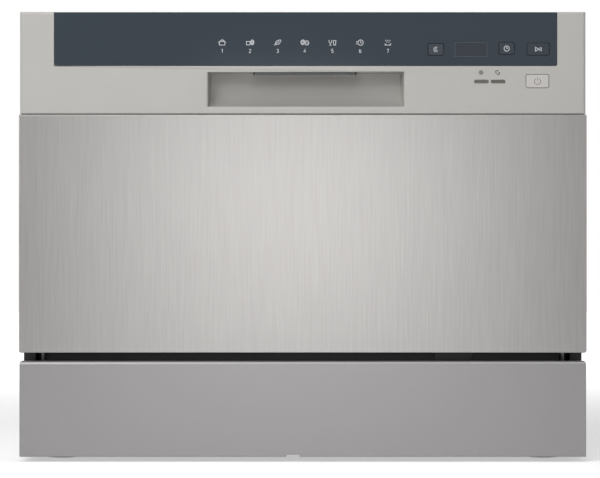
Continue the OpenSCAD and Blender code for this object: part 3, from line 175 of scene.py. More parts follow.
plasticLooks = {
    "silverAbs": dict(low="#adaba7", high="#b4b2ae", rough=0.42, grainMm=0.9, bump=0.12,
                      metallic=0.15),
    "silverButtonAbs": dict(low="#b9b6b2", high="#c0bdb9", rough=0.38, grainMm=0.8, bump=0.1,
                            metallic=0.15),
    "coverAbs": dict(low="#b6b4b1", high="#bfbdba", rough=0.5, grainMm=1.1, bump=0.3),
    "glossStripAcrylic": dict(low="#2d363f", high="#313b44", rough=0.06, grainMm=2.0, bump=0.02,
                              coat=0.08, cloudMm=180, sheen=0.22),
    "stripButtonAbs": dict(low="#2b333c", high="#2f3841", rough=0.16, grainMm=1.0, bump=0.04,
                           coat=0.12, sheen=0.3),
    "smokedAcrylic": dict(low="#262d36", high="#2a313a", rough=0.08, grainMm=2.0, bump=0.01,
                          coat=0.12, cloudMm=120, sheen=0.3),
    "lightPipeAcrylic": dict(low="#4e4f47", high="#56574f", rough=0.25, grainMm=1.0, bump=0.04,
                             coat=0.3),
    "leverAbs": dict(low="#a8a6a2", high="#afada9", rough=0.42, grainMm=0.8, metallic=0.15),
    "blackPolypropylene": dict(low="#151618", high="#1b1c1e", rough=0.5, grainMm=1.0),
    "footPolypropylene": dict(low="#151515", high="#1c1c1c", rough=0.6, grainMm=1.2),
    "greyPolypropylene": dict(low="#6d7075", high="#777a7f", rough=0.45, grainMm=1.0),
    "dispenserPolypropylene": dict(low="#8a8d92", high="#94979c", rough=0.4, grainMm=0.9),
    "dispenserLidAbs": dict(low="#74777d", high="#7c7f85", rough=0.3, grainMm=0.9, coat=0.2),
    "whitePolypropylene": dict(low="#cfcec6", high="#d9d8d1", rough=0.45, grainMm=1.0),
    "capPolypropylene": dict(low="#dcdcd8", high="#e4e4e0", rough=0.4, grainMm=0.9),
    "blackNylon": dict(low="#17181a", high="#1f2022", rough=0.45, grainMm=0.9),
    "rollerAcetal": dict(low="#64686f", high="#6e727a", rough=0.35, grainMm=0.9),
    "cutleryPolypropylene": dict(low="#6f737b", high="#7b7f87", rough=0.42, grainMm=1.0),
    "nylonCoatedWire": dict(low="#9da2a9", high="#a9aeb5", rough=0.36, grainMm=1.4, bump=0.3),
    "floatPolystyrene": dict(low="#e0e0dc", high="#eeeeea", rough=0.75, grainMm=3.0, bump=0.6),
    # painted shade: the lip's dark grey stands for the shadow in the gap in front of the latch
    # lever
    "lipPaintedShade": dict(low="#5a5d5f", high="#636668", rough=0.6, grainMm=0.8),
    "sealEpdm": dict(low="#161616", high="#1e1e1e", rough=0.6, grainMm=1.2, bump=0.2),
    "boardLaminate": dict(low="#1d5a33", high="#23673b", rough=0.35, grainMm=1.5, coat=0.3),
}

# the drawn tub carries upright lines; on small pieces the lines are short and blur evenly
steelLooks = {
    "tubStainless": dict(low="#b4b3b0", high="#c6c5c2", rough=0.3, lineMm=1.4, runMm=90,
                         along="z", bump=0.08),
    "zincSteel": dict(low="#8d9092", high="#a0a3a5", rough=0.42, lineMm=3.0, runMm=7, along="z",
                      bump=0.12, anisotropic=0.0),
    "brightPinSteel": dict(low="#b2b2b2", high="#c4c4c4", rough=0.22, lineMm=0.8, runMm=6,
                           along="x", anisotropic=0.0),
    "springSteel": dict(low="#8f8f90", high="#a2a2a3", rough=0.3, lineMm=0.8, runMm=8,
                        along="z", anisotropic=0.0),
    "filterStainless": dict(low="#a6a6a4", high="#b8b8b5", rough=0.33, lineMm=1.2, runMm=30,
                            along="y", anisotropic=0.0),
}

# stainless sheet brushed upright: hair lines a few tenths of a millimetre apart, drawn four
# times as wide so that they show, and a reflection that spreads sideways
brushedLook = dict(low="#918f8e", high="#a2a09e", rough=0.295, spread=0.01, lineMm=1.5, runMm=55,
                   along="z", bump=0.02, anisotropic=0.2, tangent="Z", detail=1.5)

# satin films on sheet: a fine cloud drives tone and sheen together
filmDefaults = dict(smooth=0.36, dull=0.44, lumpMm=2.2, detail=1.5, metallic=0.1, coat=0.1,
                    coatRough=0.25, bump=0.15, depthMm=0.06)
filmLooks = {
    # a baked silver coat: metal flake in a clear film, so a satin sheen with no grain
    "kickPlateSteel": dict(low="#8c8a8b", high="#949293", smooth=0.3, dull=0.37, lumpMm=1.3,
                           detail=2.0, metallic=0.6, coatRough=0.2, bump=0.05, depthMm=0.05),
    # powder coat: an even satin with the slight orange peel of the cured film
    "paintedCaseSteel": dict(low="#b0b0ae", high="#b7b7b5"),
    # black coat on the crossbar and hinge brackets, partly a real dark coat and partly painted
    # shade: made near-black so that the narrow gap under the door reads as deep shade
    "blackCoatGapShadeSteel": dict(low="#1e2021", high="#242627"),
}


def filmOnSteel(name, look):
    look = dict(filmDefaults, **look)
    material, tree, shader = newMaterial(name, {"Metallic": look["metallic"],
                                                "Coat Weight": look["coat"],
                                                "Coat Roughness": look["coatRough"]})
    lumps = noise(tree, look["lumpMm"], look["detail"])
    varyColour(tree, shader, lumps, look["low"], look["high"])
    varyRoughness(tree, shader, lumps, look["smooth"], look["dull"])
    grainBump(tree, shader, lumps, look["bump"], look["depthMm"])
    return material


inkFilm = dict(lumpMm=1.5, smooth=0.42, dull=0.58)
inkTones = {"paleInk": ("#c5c8cc", "#cdd0d4"), "darkInk": ("#46484c", "#4e5054"),
            "faintInk": ("#565e68", "#5c646e")}


def printInk(name, tones):
    # screen-printed ink: a thin matt film whose density drifts a little
    material, tree, shader = newMaterial(name, {})
    density = noise(tree, inkFilm["lumpMm"])
    varyColour(tree, shader, density, *tones)
    varyRoughness(tree, shader, density, inkFilm["smooth"], inkFilm["dull"])
    return material


finishes = {name: mouldedPlastic(name, look) for name, look in plasticLooks.items()}
finishes.update({name: rolledSteel(name, look) for name, look in steelLooks.items()})
finishes["brushedDoorSteel"] = rolledSteel("brushedDoorSteel", brushedLook)
finishes.update({name: filmOnSteel(name, look) for name, look in filmLooks.items()})
finishes.update({name: printInk(name, tones) for name, tones in inkTones.items()})

finishOfSlot = {
    "painted_steel": "paintedCaseSteel", "cover_plastic": "coverAbs", "zinc_steel": "zincSteel",
    "dark_plastic": "blackPolypropylene", "kick_metal": "kickPlateSteel",
    "foot_plastic": "footPolypropylene", "tub_steel": "tubStainless", "seal_rubber": "sealEpdm",
    "pin_steel": "brightPinSteel", "spring_steel": "springSteel",
    "grey_plastic": "greyPolypropylene", "pump_plastic": "blackNylon",
    "white_plastic": "whitePolypropylene", "cap_plastic": "capPolypropylene",
    "foam": "floatPolystyrene", "filter_steel": "filterStainless", "arm_plastic": "rollerAcetal",
    "coated_wire": "nylonCoatedWire", "roller_plastic": "rollerAcetal",
    "cutlery_plastic": "cutleryPolypropylene", "brushed_steel_panel": "brushedDoorSteel",
    "silver_plastic": "silverAbs", "gloss_strip": "glossStripAcrylic",
    "smoked_window": "smokedAcrylic", "silver_button": "silverButtonAbs",
    "strip_button": "stripButtonAbs", "lens": "lightPipeAcrylic", "lever_plastic": "leverAbs",
    "dispenser_plastic": "dispenserPolypropylene", "lid_plastic": "dispenserLidAbs",
    "circuit_board": "boardLaminate", "black_steel": "blackCoatGapShadeSteel",
}
slotOfNode = {part["node"]: part["material_slot"] for part in frame["record"]["subparts"]}
bodyOfNode = {node: body for body, members in frame["record"]["behaviour"]["bodies"].items()
              for node in members}


def dress(obj, finish):
    obj.data.materials.clear()
    obj.data.materials.append(finishes[finish])


for node, obj in nodes.items():
    dress(obj, finishOfSlot[slotOfNode[node]])
print("finishes given to", len(nodes), "nodes")


# ---- the solids' own shapes with softened edges ----

# edge radius in mm of each node with softened edges; the other nodes are only shaded round
edgeSoftening = {
    "side_panel_left": 0.8, "side_panel_right": 0.8, "top_cover": 0.9, "rear_panel": 0.6,
    "base_tray": 0.6, "kick_plate": 0.6, "door_panel": 0.7, "control_panel": 0.45,
    "display_strip": 0.3, "display_window": 0.2, "latch_handle": 0.5, "power_button": 0.25,
    "program_button": 0.2, "delay_button": 0.2, "start_button": 0.2, "door_liner": 0.6,
    "dispenser": 0.4, "dispenser_lid": 0.5, "rinse_cap": 0.4, "front_crossbar": 0.5,
    "cutlery_basket": 0.3, "salt_cap": 0.4, "coarse_filter": 0.25, "spray_hub": 0.4,
    "spray_arm": 0.5, "roller_front_left": 0.4, "roller_front_right": 0.4,
    "roller_rear_left": 0.4, "roller_rear_right": 0.4, "foot_front_left": 0.5,
    "foot_front_right": 0.5, "foot_rear_left": 0.5, "foot_rear_right": 0.5,
    "inlet_valve": 0.3, "drain_outlet": 0.3, "cord_gland": 0.3, "leak_float": 0.5,
    "hinge_brackets": 0.3, "hinge_arms": 0.3, "latch_strike": 0.25, "latch_pawl": 0.25,
    "latch_housing": 0.3, "wash_pump": 0.5, "drain_pump": 0.4,
}
# corners nearer than joinMm are one, faces within flatDegrees are one, a fold past roundDegrees is
# a crisp edge, and a face narrower than sliverMm is a sliver
softPlan = dict(joinMm=0.002, flatDegrees=0.4, roundDegrees=32, sliverMm=0.2, segments=2,
                flatWeight=100)
neverSoftened = ("door_springs",)


def mergedCopy(node):
    # the node's triangles joined at shared corners, with flat neighbours made one face
    made = bmesh.new()
    made.from_mesh(nodes[node].data)
    bmesh.ops.remove_doubles(made, verts=made.verts, dist=softPlan["joinMm"] * mm)
    bmesh.ops.dissolve_limit(made, angle_limit=math.radians(softPlan["flatDegrees"]),
                             verts=made.verts, edges=made.edges)
    mesh = bpy.data.meshes.new(node + "Soft")
    made.to_mesh(mesh)
    made.free()
    return addObject(node + "Soft", mesh)


def smoothByFold(obj):
    # faces shade round across slight folds and crisp across steep ones; a crisp edge is marked
    # for softening, unless a face beside it is a sliver that the softening would overrun. A
    # sliver is narrow: twice its area is less than sliverMm times its outline
    fold = math.radians(softPlan["roundDegrees"])
    narrow = softPlan["sliverMm"] * mm
    obj.data.shade_smooth()
    made = bmesh.new()
    made.from_mesh(obj.data)
    soften = made.edges.layers.float.new("bevel_weight_edge")
    sliver = {face for face in made.faces
              if 2 * face.calc_area() < narrow * sum(e.calc_length() for e in face.edges)}
    for edge in made.edges:
        if len(edge.link_faces) != 2 or edge.calc_face_angle(0.0) > fold:
            edge.smooth = False
            edge[soften] = float(not sliver.intersection(edge.link_faces))
    made.to_mesh(obj.data)
    made.free()


def softenNode(node, widthMm):
    obj = mergedCopy(node)
    smoothByFold(obj)
    if widthMm:
        bevel = obj.modifiers.new("edge", "BEVEL")
        bevel.width = widthMm * mm
        bevel.segments = softPlan["segments"]
        bevel.limit_method = "WEIGHT"
        bevel.use_clamp_overlap = False
        bevel.miter_outer = "MITER_ARC"
    weighted = obj.modifiers.new("flat", "WEIGHTED_NORMAL")
    weighted.keep_sharp = True
    weighted.weight = softPlan["flatWeight"]
    dress(obj, finishOfSlot[slotOfNode[node]])
    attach(obj, bodyOfNode[node])
    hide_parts(node)


for node in nodes:
    if node not in neverSoftened:
        softenNode(node, edgeSoftening.get(node, 0.0))
print("softened copies made of", len(nodes) - len(neverSoftened), "nodes")


# ---- printed symbols, numbers and marks, as thin ribbons of ink ----

def arc(cx, cz, rx, rz, startDeg, endDeg, count=20):
    # points (cx + rx cos t, cz + rz sin t) with t evenly from start to end
    t = np.radians(np.linspace(startDeg, endDeg, count))
    return np.stack([cx + rx * np.cos(t), cz + rz * np.sin(t)], axis=1)


def path(*points):
    return np.array(points, float)


def ribbon(points, width):
    # strip along a line: corner = point +- (width / 2) n, n the mitred normal of its two sides
    closed = len(points) > 2 and np.allclose(points[0], points[-1])
    line = points[:-1] if closed else points
    ahead = np.roll(line, -1, 0) - line
    behind = line - np.roll(line, 1, 0)
    if not closed:
        ahead[-1], behind[0] = behind[-1], ahead[0]
    ahead /= np.linalg.norm(ahead, axis=1)[:, None]
    behind /= np.linalg.norm(behind, axis=1)[:, None]
    normal = np.stack([-(ahead + behind)[:, 1], (ahead + behind)[:, 0]], axis=1)
    normal /= np.linalg.norm(normal, axis=1)[:, None]
    # a sharp corner is drawn out to twice the width at most
    stretch = 1 / np.clip((normal * np.stack([-ahead[:, 1], ahead[:, 0]], 1)).sum(1), 0.5, 1)
    side = normal * (stretch * width / 2)[:, None]
    count = len(line)
    corners = np.concatenate([line + side, line - side])
    first = np.arange(count if closed else count - 1)
    after = (first + 1) % count
    return corners, np.stack([first, after, after + count, first + count], axis=1)


def inkPiece(name, strokes, finish, body, surfaceY, thickMm=0.06):
    # strokes: (points in mm on the XZ plane, width in mm); the ribbons stand thickMm proud
    corners, faces, base = [], [], 0
    for points, width in strokes:
        flat, quads = ribbon(points, width)
        corners.append(flat)
        faces.append(quads + base)
        base += len(flat)
    flat = np.concatenate(corners) * mm
    place = np.stack([flat[:, 0], np.full(len(flat), surfaceY - thickMm * mm), flat[:, 1]], 1)
    mesh = bpy.data.meshes.new(name)
    mesh.from_pydata(place.tolist(), [], np.concatenate(faces).tolist())
    # every ribbon faces the front: turn the quads whose normal looks back
    made = bmesh.new()
    made.from_mesh(mesh)
    made.normal_update()
    bmesh.ops.reverse_faces(made, faces=[f for f in made.faces if f.normal.y > 0])
    made.to_mesh(mesh)
    made.free()
    obj = addObject(name, mesh)
    dress(obj, finish)
    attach(obj, body)


def ring(cx, cz, r, rz=None, count=28):
    return arc(cx, cz, r, rz or r, 0, 360, count)


# digits drawn in a box one unit high and about 0.55 wide, centred on the origin
digitLines = {
    1: [path((-0.16, 0.3), (0.06, 0.5), (0.06, -0.5))],
    2: [np.concatenate([arc(0, 0.24, 0.25, 0.26, 165, -20, 14),
                        path((-0.26, -0.5), (0.28, -0.5))])],
    3: [np.concatenate([arc(-0.02, 0.25, 0.24, 0.25, 150, -85, 12),
                        arc(-0.02, -0.23, 0.27, 0.27, 85, -155, 14)])],
    4: [path((0.3, -0.2), (-0.28, -0.2), (0.12, 0.5), (0.12, -0.5))],
    5: [np.concatenate([path((0.24, 0.5), (-0.2, 0.5), (-0.22, 0.06)),
                        arc(-0.01, -0.18, 0.27, 0.3, 125, -150, 16)])],
    6: [arc(0.14, -0.14, 0.4, 0.66, 105, 180, 10), ring(0.0, -0.2, 0.26, 0.3)],
    7: [path((-0.26, 0.5), (0.27, 0.5), (-0.08, -0.5))],
}


def moved(lines, cx, cz, scale):
    # lines scaled about their origin, which then lies at (cx, cz)
    return [points * scale + np.array([cx, cz]) for points in lines]


def leafLine(side):
    # one edge of a leaf: A + t (B - A) + side w sin(pi t) n, with t from 0 to 1
    t = np.linspace(0, 1, 14)[:, None]
    base, tip = np.array([-2.6, -2.0]), np.array([3.2, 2.5])
    across = np.array([-(tip - base)[1], (tip - base)[0]]) / np.linalg.norm(tip - base)
    return base + t * (tip - base) + side * 1.7 * np.sin(np.pi * t) * across


# programme pictograms in a box 7.6 mm wide and 5.6 mm high, drawn in mm about its centre
pictograms = [
    # a deep pot with lid and knob
    [path((-2.6, 0.6), (-2.6, -2.4), (2.6, -2.4), (2.6, 0.6)), path((-3.2, 1.0), (3.2, 1.0)),
     path((-3.8, 0.0), (-2.6, 0.0)), path((2.6, 0.0), (3.8, 0.0)), arc(0, 1.0, 2.2, 1.2, 0, 180),
     ring(0, 2.5, 0.35)],
    # a pot beside a plate
    [path((-3.4, 0.8), (-3.4, -2.2), (0.0, -2.2), (0.0, 0.8)), path((-3.8, 1.1), (0.4, 1.1)),
     ring(2.2, 0.2, 1.5, 2.4), ring(2.2, 0.2, 0.8, 1.4)],
    # a leaf with its rib
    [leafLine(1), leafLine(-1), path((-3.6, -2.6), (1.4, 1.2))],
    # two plates and a cup
    [ring(-1.8, 0.3, 1.9, 2.3), ring(-1.8, 0.3, 1.0, 1.3),
     path((1.0, 1.6), (1.0, -2.2), (3.2, -2.2), (3.2, 1.6), (1.0, 1.6)),
     arc(3.2, -0.3, 0.8, 0.9, 90, -90)],
    # a wine glass and a tumbler
    [np.concatenate([path((-3.2, 2.6)), arc(-1.9, 1.2, 1.3, 1.7, 180, 360), path((-0.6, 2.6))]),
     path((-1.9, -0.5), (-1.9, -2.4)), path((-3.0, -2.5), (-0.8, -2.5)),
     path((0.9, 1.8), (1.3, -2.4), (3.1, -2.4), (3.5, 1.8), (0.9, 1.8))],
    # a clock with a quick hand
    [ring(0.4, 0, 2.6), path((0.4, 0), (0.4, 1.7)), path((0.4, 0), (1.8, -0.6)),
     path((-3.8, 1.0), (-2.7, 1.0)), path((-3.8, -0.2), (-2.9, -0.2)),
     path((-3.8, -1.4), (-2.7, -1.4))],
    # a shower of drops over a plate
    [path((-2.9, -2.5), (2.9, -2.5)), arc(0, -0.9, 2.9, 1.4, 180, 360),
     path((-2.0, 2.6), (-2.0, 1.4)), path((0, 2.6), (0, 1.4)), path((2.0, 2.6), (2.0, 1.4)),
     path((-1.0, 0.9), (-1.0, 0.0)), path((1.0, 0.9), (1.0, 0.0))],
]
panelPrint = dict(
    iconX=(-78.1, -51.1, -24.3, 1.9, 28.6, 55.6, 82.4), iconZ=406.2, numberZ=398.1,
    numberHeight=3.4, iconLine=0.62, numberLine=0.55, iconScale=1.0)

strokes = []
for index, x in enumerate(panelPrint["iconX"]):
    strokes += [(line, panelPrint["iconLine"]) for line in
                moved(pictograms[index], x, panelPrint["iconZ"], panelPrint["iconScale"])]
    strokes += [(line, panelPrint["numberLine"]) for line in
                moved(digitLines[index + 1], x, panelPrint["numberZ"],
                      panelPrint["numberHeight"])]
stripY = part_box("display_strip")[0].y
inkPiece("programmeSymbols", strokes, "paleInk", "door", stripY)


def boxMiddle(node):
    low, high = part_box(node)
    return (low.x + high.x) / 2 / mm, (low.z + high.z) / 2 / mm, low.y


def outline(node, inset, r):
    # closed line inset from a node's front outline: four straight sides and quarter circles
    low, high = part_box(node)
    x0, x1 = low.x / mm + inset, high.x / mm - inset
    z0, z1 = low.z / mm + inset, high.z / mm - inset
    corners = [arc(x1 - r, z1 - r, r, r, 0, 90, 5), arc(x0 + r, z1 - r, r, r, 90, 180, 5),
               arc(x0 + r, z0 + r, r, r, 180, 270, 5), arc(x1 - r, z0 + r, r, r, 270, 360, 5)]
    line = np.concatenate(corners)
    return np.concatenate([line, line[:1]])


def arrowHead(x, z, angleDeg, size):
    # two short lines meeting at a point, opened 35 degrees each side of the way it came
    back = np.radians([angleDeg + 145, angleDeg - 145])
    tips = np.stack([x + size * np.cos(back), z + size * np.sin(back)], axis=1)
    return np.array([tips[0], (x, z), tips[1]])


# each button's symbol: strokes in mm about its middle, their width, the ink and the slot
buttonSymbols = {
    "program_button": ([arc(0, 0, 2.1, 2.1, 60, 330), arrowHead(1.05, 1.82, -30, 1.3),
                        path((-0.9, 0.5), (0.9, 0.5)), path((-0.9, -0.6), (0.9, -0.6))],
                       0.5, "paleInk", "strip_button"),
    "delay_button": ([ring(0, 0, 2.5), path((0, 1.6), (0, 0), (1.3, 0.5))],
                     0.6, "paleInk", "strip_button"),
    "start_button": ([path((-2.8, 1.9), (0.6, 0), (-2.8, -1.9), (-2.8, 1.9)),
                      path((1.6, -1.9), (1.6, 1.9)), path((2.9, -1.9), (2.9, 1.9))],
                     0.6, "paleInk", "strip_button"),
    "power_button": ([arc(0, -0.3, 3.0, 3.0, 122, 418, 30), path((0, 0.6), (0, 3.4))],
                     0.5, "darkInk", "silver_button"),
}
for button, (lines, width, ink, slotName) in buttonSymbols.items():
    x, z, face = boxMiddle(button)
    buttonStrokes = [(line, width) for line in moved(lines, x, z, 1.0)]
    inkPiece(button + "Symbol", buttonStrokes, ink, bodyOfNode[button], face)

# a thin pale edge round the window, printed on the smoked panel
edgePlan = dict(inset=0.3, radius=1.2, line=0.35)
windowLine = outline("display_window", edgePlan["inset"], edgePlan["radius"])
inkPiece("windowEdge", [(windowLine, edgePlan["line"])], "faintInk", "door",
         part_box("display_window")[0].y)

# symbols of the two indicator lamps: a shining light for rinse aid and a salt swirl
lensPlan = dict(xs=(172.6, 188.6), z=377.2, line=0.8, core=0.9, rayFrom=1.5, rayTo=2.5,
                swirlScale=0.9)
sparkle = [ring(0, 0, lensPlan["core"], count=16)]
for a in np.radians(np.arange(0, 360, 45)):
    ray = np.array([math.cos(a), math.sin(a)])
    sparkle.append(path(lensPlan["rayFrom"] * ray, lensPlan["rayTo"] * ray))
swirl = [arc(-0.9, 0.8, 1.5, 1.3, 40, 280, 14), arc(0.9, -0.8, 1.5, 1.3, 220, 460, 14),
         arrowHead(0.3, 1.65, -40, 1.2), arrowHead(-0.3, -1.65, 140, 1.2)]
lampStrokes = [(line, lensPlan["line"]) for line in
               moved(sparkle, lensPlan["xs"][0], lensPlan["z"], 1.0)
               + moved(swirl, lensPlan["xs"][1], lensPlan["z"], lensPlan["swirlScale"])]
inkPiece("indicatorSymbols", lampStrokes, "darkInk", "door",
         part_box("control_panel")[0].y)
print("symbols printed")


# ---- painted shade: a dark lip and two dark end stops standing for the shadow in front of the latch lever's slot, and the screws that hold the rear panel ----

def newPiece(name, points, faces, finish, body):
    # one or more closed shells, from points in mm
    mesh = bpy.data.meshes.new(name)
    mesh.from_pydata((points * mm).tolist(), [], faces)
    # every face is turned to look away from the inside of its shell
    made = bmesh.new()
    made.from_mesh(mesh)
    bmesh.ops.recalc_face_normals(made, faces=made.faces)
    made.to_mesh(mesh)
    made.free()
    mesh.shade_smooth()
    obj = addObject(name, mesh)
    dress(obj, finish)
    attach(obj, body)


def gridFaces(rows, columns):
    # quads between neighbouring rows of a grid whose columns close on themselves
    i, j = np.meshgrid(np.arange(rows - 1), np.arange(columns), indexing="ij")
    after = (j + 1) % columns
    return np.stack([i * columns + j, i * columns + after, (i + 1) * columns + after,
                     (i + 1) * columns + j], axis=-1).reshape(-1, 4)


def hangingLip(name, plan, finish):
    # a bar along x with rounded ends: at x the section is a half superellipse below the ceiling,
    # y = middle + (depth / 2) e cos t and z = ceiling - height e sqrt(sin t), t from 0 to pi,
    # where e = (1 - |u|^power)^(1/2) runs to a small end face as u goes from -1 to 1
    u = np.sin(np.linspace(-1, 1, plan["sections"]) * math.pi / 2) * plan["reach"]
    t = np.linspace(0, math.pi, plan["corners"])
    ends = np.sqrt(1 - np.abs(u) ** plan["power"])[:, None]
    x = (plan["left"] + plan["right"]) / 2 + u[:, None] * (plan["right"] - plan["left"]) / 2
    y = plan["middle"] + plan["depth"] / 2 * ends * np.cos(t)
    z = plan["ceiling"] - plan["height"] * ends * np.sqrt(np.clip(np.sin(t), 0, 1))
    points = np.stack(np.broadcast_arrays(x, y, z), axis=-1).reshape(-1, 3)
    faces = gridFaces(len(u), len(t)).tolist()
    faces += [list(range(len(t)))[::-1], [(len(u) - 1) * len(t) + k for k in range(len(t))]]
    newPiece(name, points, faces, finish, "door")


# painted shade: the lip hangs in front of the lever as a dark strip, and its two black end stops
# sit at the slot's ends; together they stand for the shadow in that gap and at the slot's ends
lipPlan = dict(left=-46.8, right=50.9, middle=-245.6, depth=3.0, ceiling=377.65, height=2.2,
               sections=41, corners=15, power=60, reach=0.999)
stopPlan = dict(width=1.4, height=2.7)
hangingLip("leverGapPaintedShade", lipPlan, "lipPaintedShade")
for name, left in (("slotEndPaintedShadeLeft", -48.0), ("slotEndPaintedShadeRight", 50.6)):
    stop = dict(lipPlan, left=left, right=left + stopPlan["width"], height=stopPlan["height"])
    hangingLip(name, stop, "blackPolypropylene")

# pan head screws: height above the sheet = rise sqrt(1 - r^2), less a cross-shaped pit of the
# driver, whose walls slope over armSlope and endSlope; each screw stopped at its own angle
screwPlan = dict(radius=4.1, rise=1.8, pitDepth=1.1, pitHalf=0.5, pitReach=2.3, armSlope=0.25,
                 endSlope=0.5, middle=0.004, turnDegrees=37, rings=22, spokes=48)
screwsAt = np.array([(-262, 248, 412), (0, 248, 412), (262, 248, 412), (-262, 248, 300),
                     (262, 248, 300), (-262, 248, 182), (262, 248, 182), (-258, 230, 62),
                     (0, 230, 62), (258, 230, 62)], float)
rings, spokes, radius = screwPlan["rings"], screwPlan["spokes"], screwPlan["radius"]
r = np.linspace(1, screwPlan["middle"], rings)[None, :, None]
angle = np.linspace(0, 2 * math.pi, spokes, endpoint=False)[None, None, :]
stopped = np.radians(screwPlan["turnDegrees"] * np.arange(len(screwsAt)))
turned = angle + stopped[:, None, None]
flatX, flatZ = radius * r * np.cos(angle), radius * r * np.sin(angle)
arm = np.minimum(np.abs(flatX), np.abs(flatZ))
out = np.hypot(flatX, flatZ)
pit = (np.clip((screwPlan["pitHalf"] - arm) / screwPlan["armSlope"] + 0.5, 0, 1)
       * np.clip((screwPlan["pitReach"] - out) / screwPlan["endSlope"] + 0.5, 0, 1))
rise = screwPlan["rise"] * np.sqrt(1 - r ** 2) - screwPlan["pitDepth"] * pit
x = screwsAt[:, 0, None, None] + radius * r * np.cos(turned)
z = screwsAt[:, 2, None, None] + radius * r * np.sin(turned)
y = screwsAt[:, 1, None, None] + rise
heads = np.stack(np.broadcast_arrays(x, y, z), axis=-1).reshape(-1, 3)
oneHead = gridFaces(rings, spokes).tolist() + [list(range(spokes)),
                                               list(range((rings - 1) * spokes, rings * spokes))]
headFaces = [[corner + k * rings * spokes for corner in face]
             for k in range(len(screwsAt)) for face in oneHead]
newPiece("rearScrews", heads, headFaces, "brightPinSteel", "case")
print("lever lip and rear screws made")


# ---- camera, lamps and surroundings ----

cameraPlan = dict(place=(-0.0027, -3.25, 0.216), lens=185.9, sensor=36.0, clipEnd=60)
camera = addObject("frontCamera", bpy.data.cameras.new("frontCamera"))
camera.location = cameraPlan["place"]
camera.rotation_euler = (math.radians(90), 0, 0)
camera.data.lens = cameraPlan["lens"]
camera.data.sensor_width = cameraPlan["sensor"]
camera.data.clip_end = cameraPlan["clipEnd"]
bpy.context.scene.camera = camera
bpy.context.scene.view_settings.view_transform = "Standard"

# two strips stand behind the camera, mirrored in the brushed steel but below what the glossy
# strip mirrors; a wide lamp hangs high in front, and a fill that nothing mirrors reaches into
# the hand recess. Each lamp has its place, the point it looks at, its two sides and its watts
lampPlan = {
    "lowStrip": ((-0.03, -3.7, 0.29), (-0.03, 0, 0.29), 0.32, 0.54, 2.2),
    "highStrip": ((-0.02, -3.72, 0.38), (-0.02, 0, 0.38), 0.44, 0.18, 2.25),
    "above": ((-1.0, -2.2, 1.8), (0, -0.2, 0.25), 2.2, 1.5, 29),
    "frontFill": ((-0.6, -2.9, 1.2), (0, -0.25, 0.36), 2.0, 1.2, 27),
    "leftFill": ((-2.4, -1.6, 1.0), (0, 0, 0.2), 1.4, 1.6, 2),
    "rightFill": ((2.4, -1.6, 1.0), (0, 0, 0.2), 1.4, 1.6, 1.4),
    "top": ((-0.1, -0.9, 2.6), (0, -0.1, 0.3), 1.8, 1.3, 10),
}
unmirroredLamps = ("frontFill",)
for name, (place, aim, sizeX, sizeZ, watts) in lampPlan.items():
    data = bpy.data.lights.new(name, "AREA")
    data.shape = "RECTANGLE"
    data.size, data.size_y, data.energy = sizeX, sizeZ, watts
    lamp = addObject(name, data)
    lamp.location = place
    ahead = Vector(aim) - Vector(place)
    lamp.rotation_euler = ahead.to_track_quat("-Z", "Y").to_euler()
    lamp.visible_camera = False
    lamp.visible_glossy = name not in unmirroredLamps


def seenOrMirrored(tree):
    # 1 for a ray that the eye follows: straight from the camera, mirrored or through glass
    rays = addNode(tree, "ShaderNodeLightPath").outputs
    seen = addNode(tree, "ShaderNodeMath", {"operation": "MAXIMUM"},
                   {0: rays["Is Camera Ray"], 1: rays["Is Glossy Ray"]})
    return addNode(tree, "ShaderNodeMath", {"operation": "MAXIMUM"},
                   {0: seen.outputs[0], 1: rays["Is Transmission Ray"]}).outputs[0]


# the sky is plain grey as a light, and white to the eye and in what the metal mirrors
world = bpy.data.worlds.new("plainSky")
bpy.context.scene.world = world
world.use_nodes = True
sky = world.node_tree
sky.nodes.clear()
skyPlan = dict(grey=(0.8, 0.8, 0.8, 1), white=(1, 1, 1, 1), greyStrength=0.2, whiteStrength=1.0)
greySky = addNode(sky, "ShaderNodeBackground", {"Color": skyPlan["grey"],
                                                "Strength": skyPlan["greyStrength"]})
whiteSky = addNode(sky, "ShaderNodeBackground", {"Color": skyPlan["white"],
                                                 "Strength": skyPlan["whiteStrength"]})
chosen = addNode(sky, "ShaderNodeMixShader", links={
    0: seenOrMirrored(sky), 1: greySky.outputs[0], 2: whiteSky.outputs[0]})
addNode(sky, "ShaderNodeOutputWorld", links={0: chosen.outputs[0]})

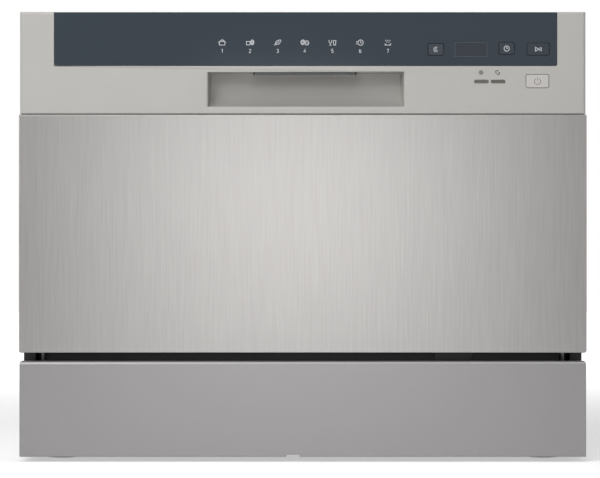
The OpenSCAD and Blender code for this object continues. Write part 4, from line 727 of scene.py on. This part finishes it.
# seen or mirrored the floor is lifted towards white, more so away from the part, as a lit sweep
# is: its shadow stays as a pale grey and the far floor joins the white sky
floorPlan = dict(half=6, low="#dedede", high="#e4e4e4", rough=0.9, sheen=0.1, cloudMm=1000 / 1.5,
                 nearReach=0.4, farReach=2.2, nearLift=0.5)
half = floorPlan["half"]
floorMesh = bpy.data.meshes.new("floor")
floorMesh.from_pydata([(-half, -half, 0), (half, -half, 0), (half, half, 0), (-half, half, 0)],
                      [], [(0, 1, 2, 3)])
floor = addObject("floor", floorMesh)
floorMaterial, floorTree, floorShader = newMaterial("paleFloor", {
    "Roughness": floorPlan["rough"], "Specular IOR Level": floorPlan["sheen"],
    "Emission Color": (1, 1, 1, 1)})
varyColour(floorTree, floorShader, noise(floorTree, floorPlan["cloudMm"]), floorPlan["low"],
           floorPlan["high"])
reach = addNode(floorTree, "ShaderNodeVectorMath", {"operation": "LENGTH"},
                {"Vector": objectPoint(floorTree)}).outputs["Value"]
fade = addNode(floorTree, "ShaderNodeMapRange", {
    "From Min": floorPlan["nearReach"], "From Max": floorPlan["farReach"],
    "To Min": floorPlan["nearLift"], "To Max": 1.0, "interpolation_type": "SMOOTHSTEP"},
    {"Value": reach})
floorLift = addNode(floorTree, "ShaderNodeMath", {"operation": "MULTIPLY"},
                    {0: seenOrMirrored(floorTree), 1: fade.outputs[0]})
floorTree.links.new(floorLift.outputs[0], floorShader.inputs["Emission Strength"])
floorMesh.materials.append(floorMaterial)

# two dark cards stand behind the camera, left and right, and lie on the floor in front of them;
# only mirrored rays meet them: the metal's sides and lower corners darken, and its middle
# mirrors the white between
cardPlan = dict(inner=0.62, outer=2.4, top=1.7, away=-3.8, floorInner=0.3, floorNear=-1.2,
                lift=0.01, low="#1c1c1c", high="#262626", sheen=0.1, feltMm=2.5, detail=3.0,
                smooth=0.9, dull=1.0)
cardMaterial, cardTree, cardShader = newMaterial("feltCard",
                                                 {"Specular IOR Level": cardPlan["sheen"]})
felt = noise(cardTree, cardPlan["feltMm"], cardPlan["detail"])
varyColour(cardTree, cardShader, felt, cardPlan["low"], cardPlan["high"])
varyRoughness(cardTree, cardShader, felt, cardPlan["smooth"], cardPlan["dull"])
away, top, lift = cardPlan["away"], cardPlan["top"], cardPlan["lift"]
for name, side in (("leftCard", -1), ("rightCard", 1)):
    near, far = side * cardPlan["inner"], side * cardPlan["outer"]
    low, front = side * cardPlan["floorInner"], cardPlan["floorNear"]
    cardMesh = bpy.data.meshes.new(name)
    cardMesh.from_pydata([(near, away, lift), (far, away, lift), (far, away, top),
                          (near, away, top), (low, away, lift), (low, front, lift),
                          (far, front, lift)], [],
                         [(0, 1, 2, 3)[::side], (4, 1, 6, 5)[::side]])
    card = addObject(name, cardMesh)
    cardMesh.materials.append(cardMaterial)
    card.visible_camera = card.visible_diffuse = card.visible_shadow = False
print("camera, lamps and floor placed")
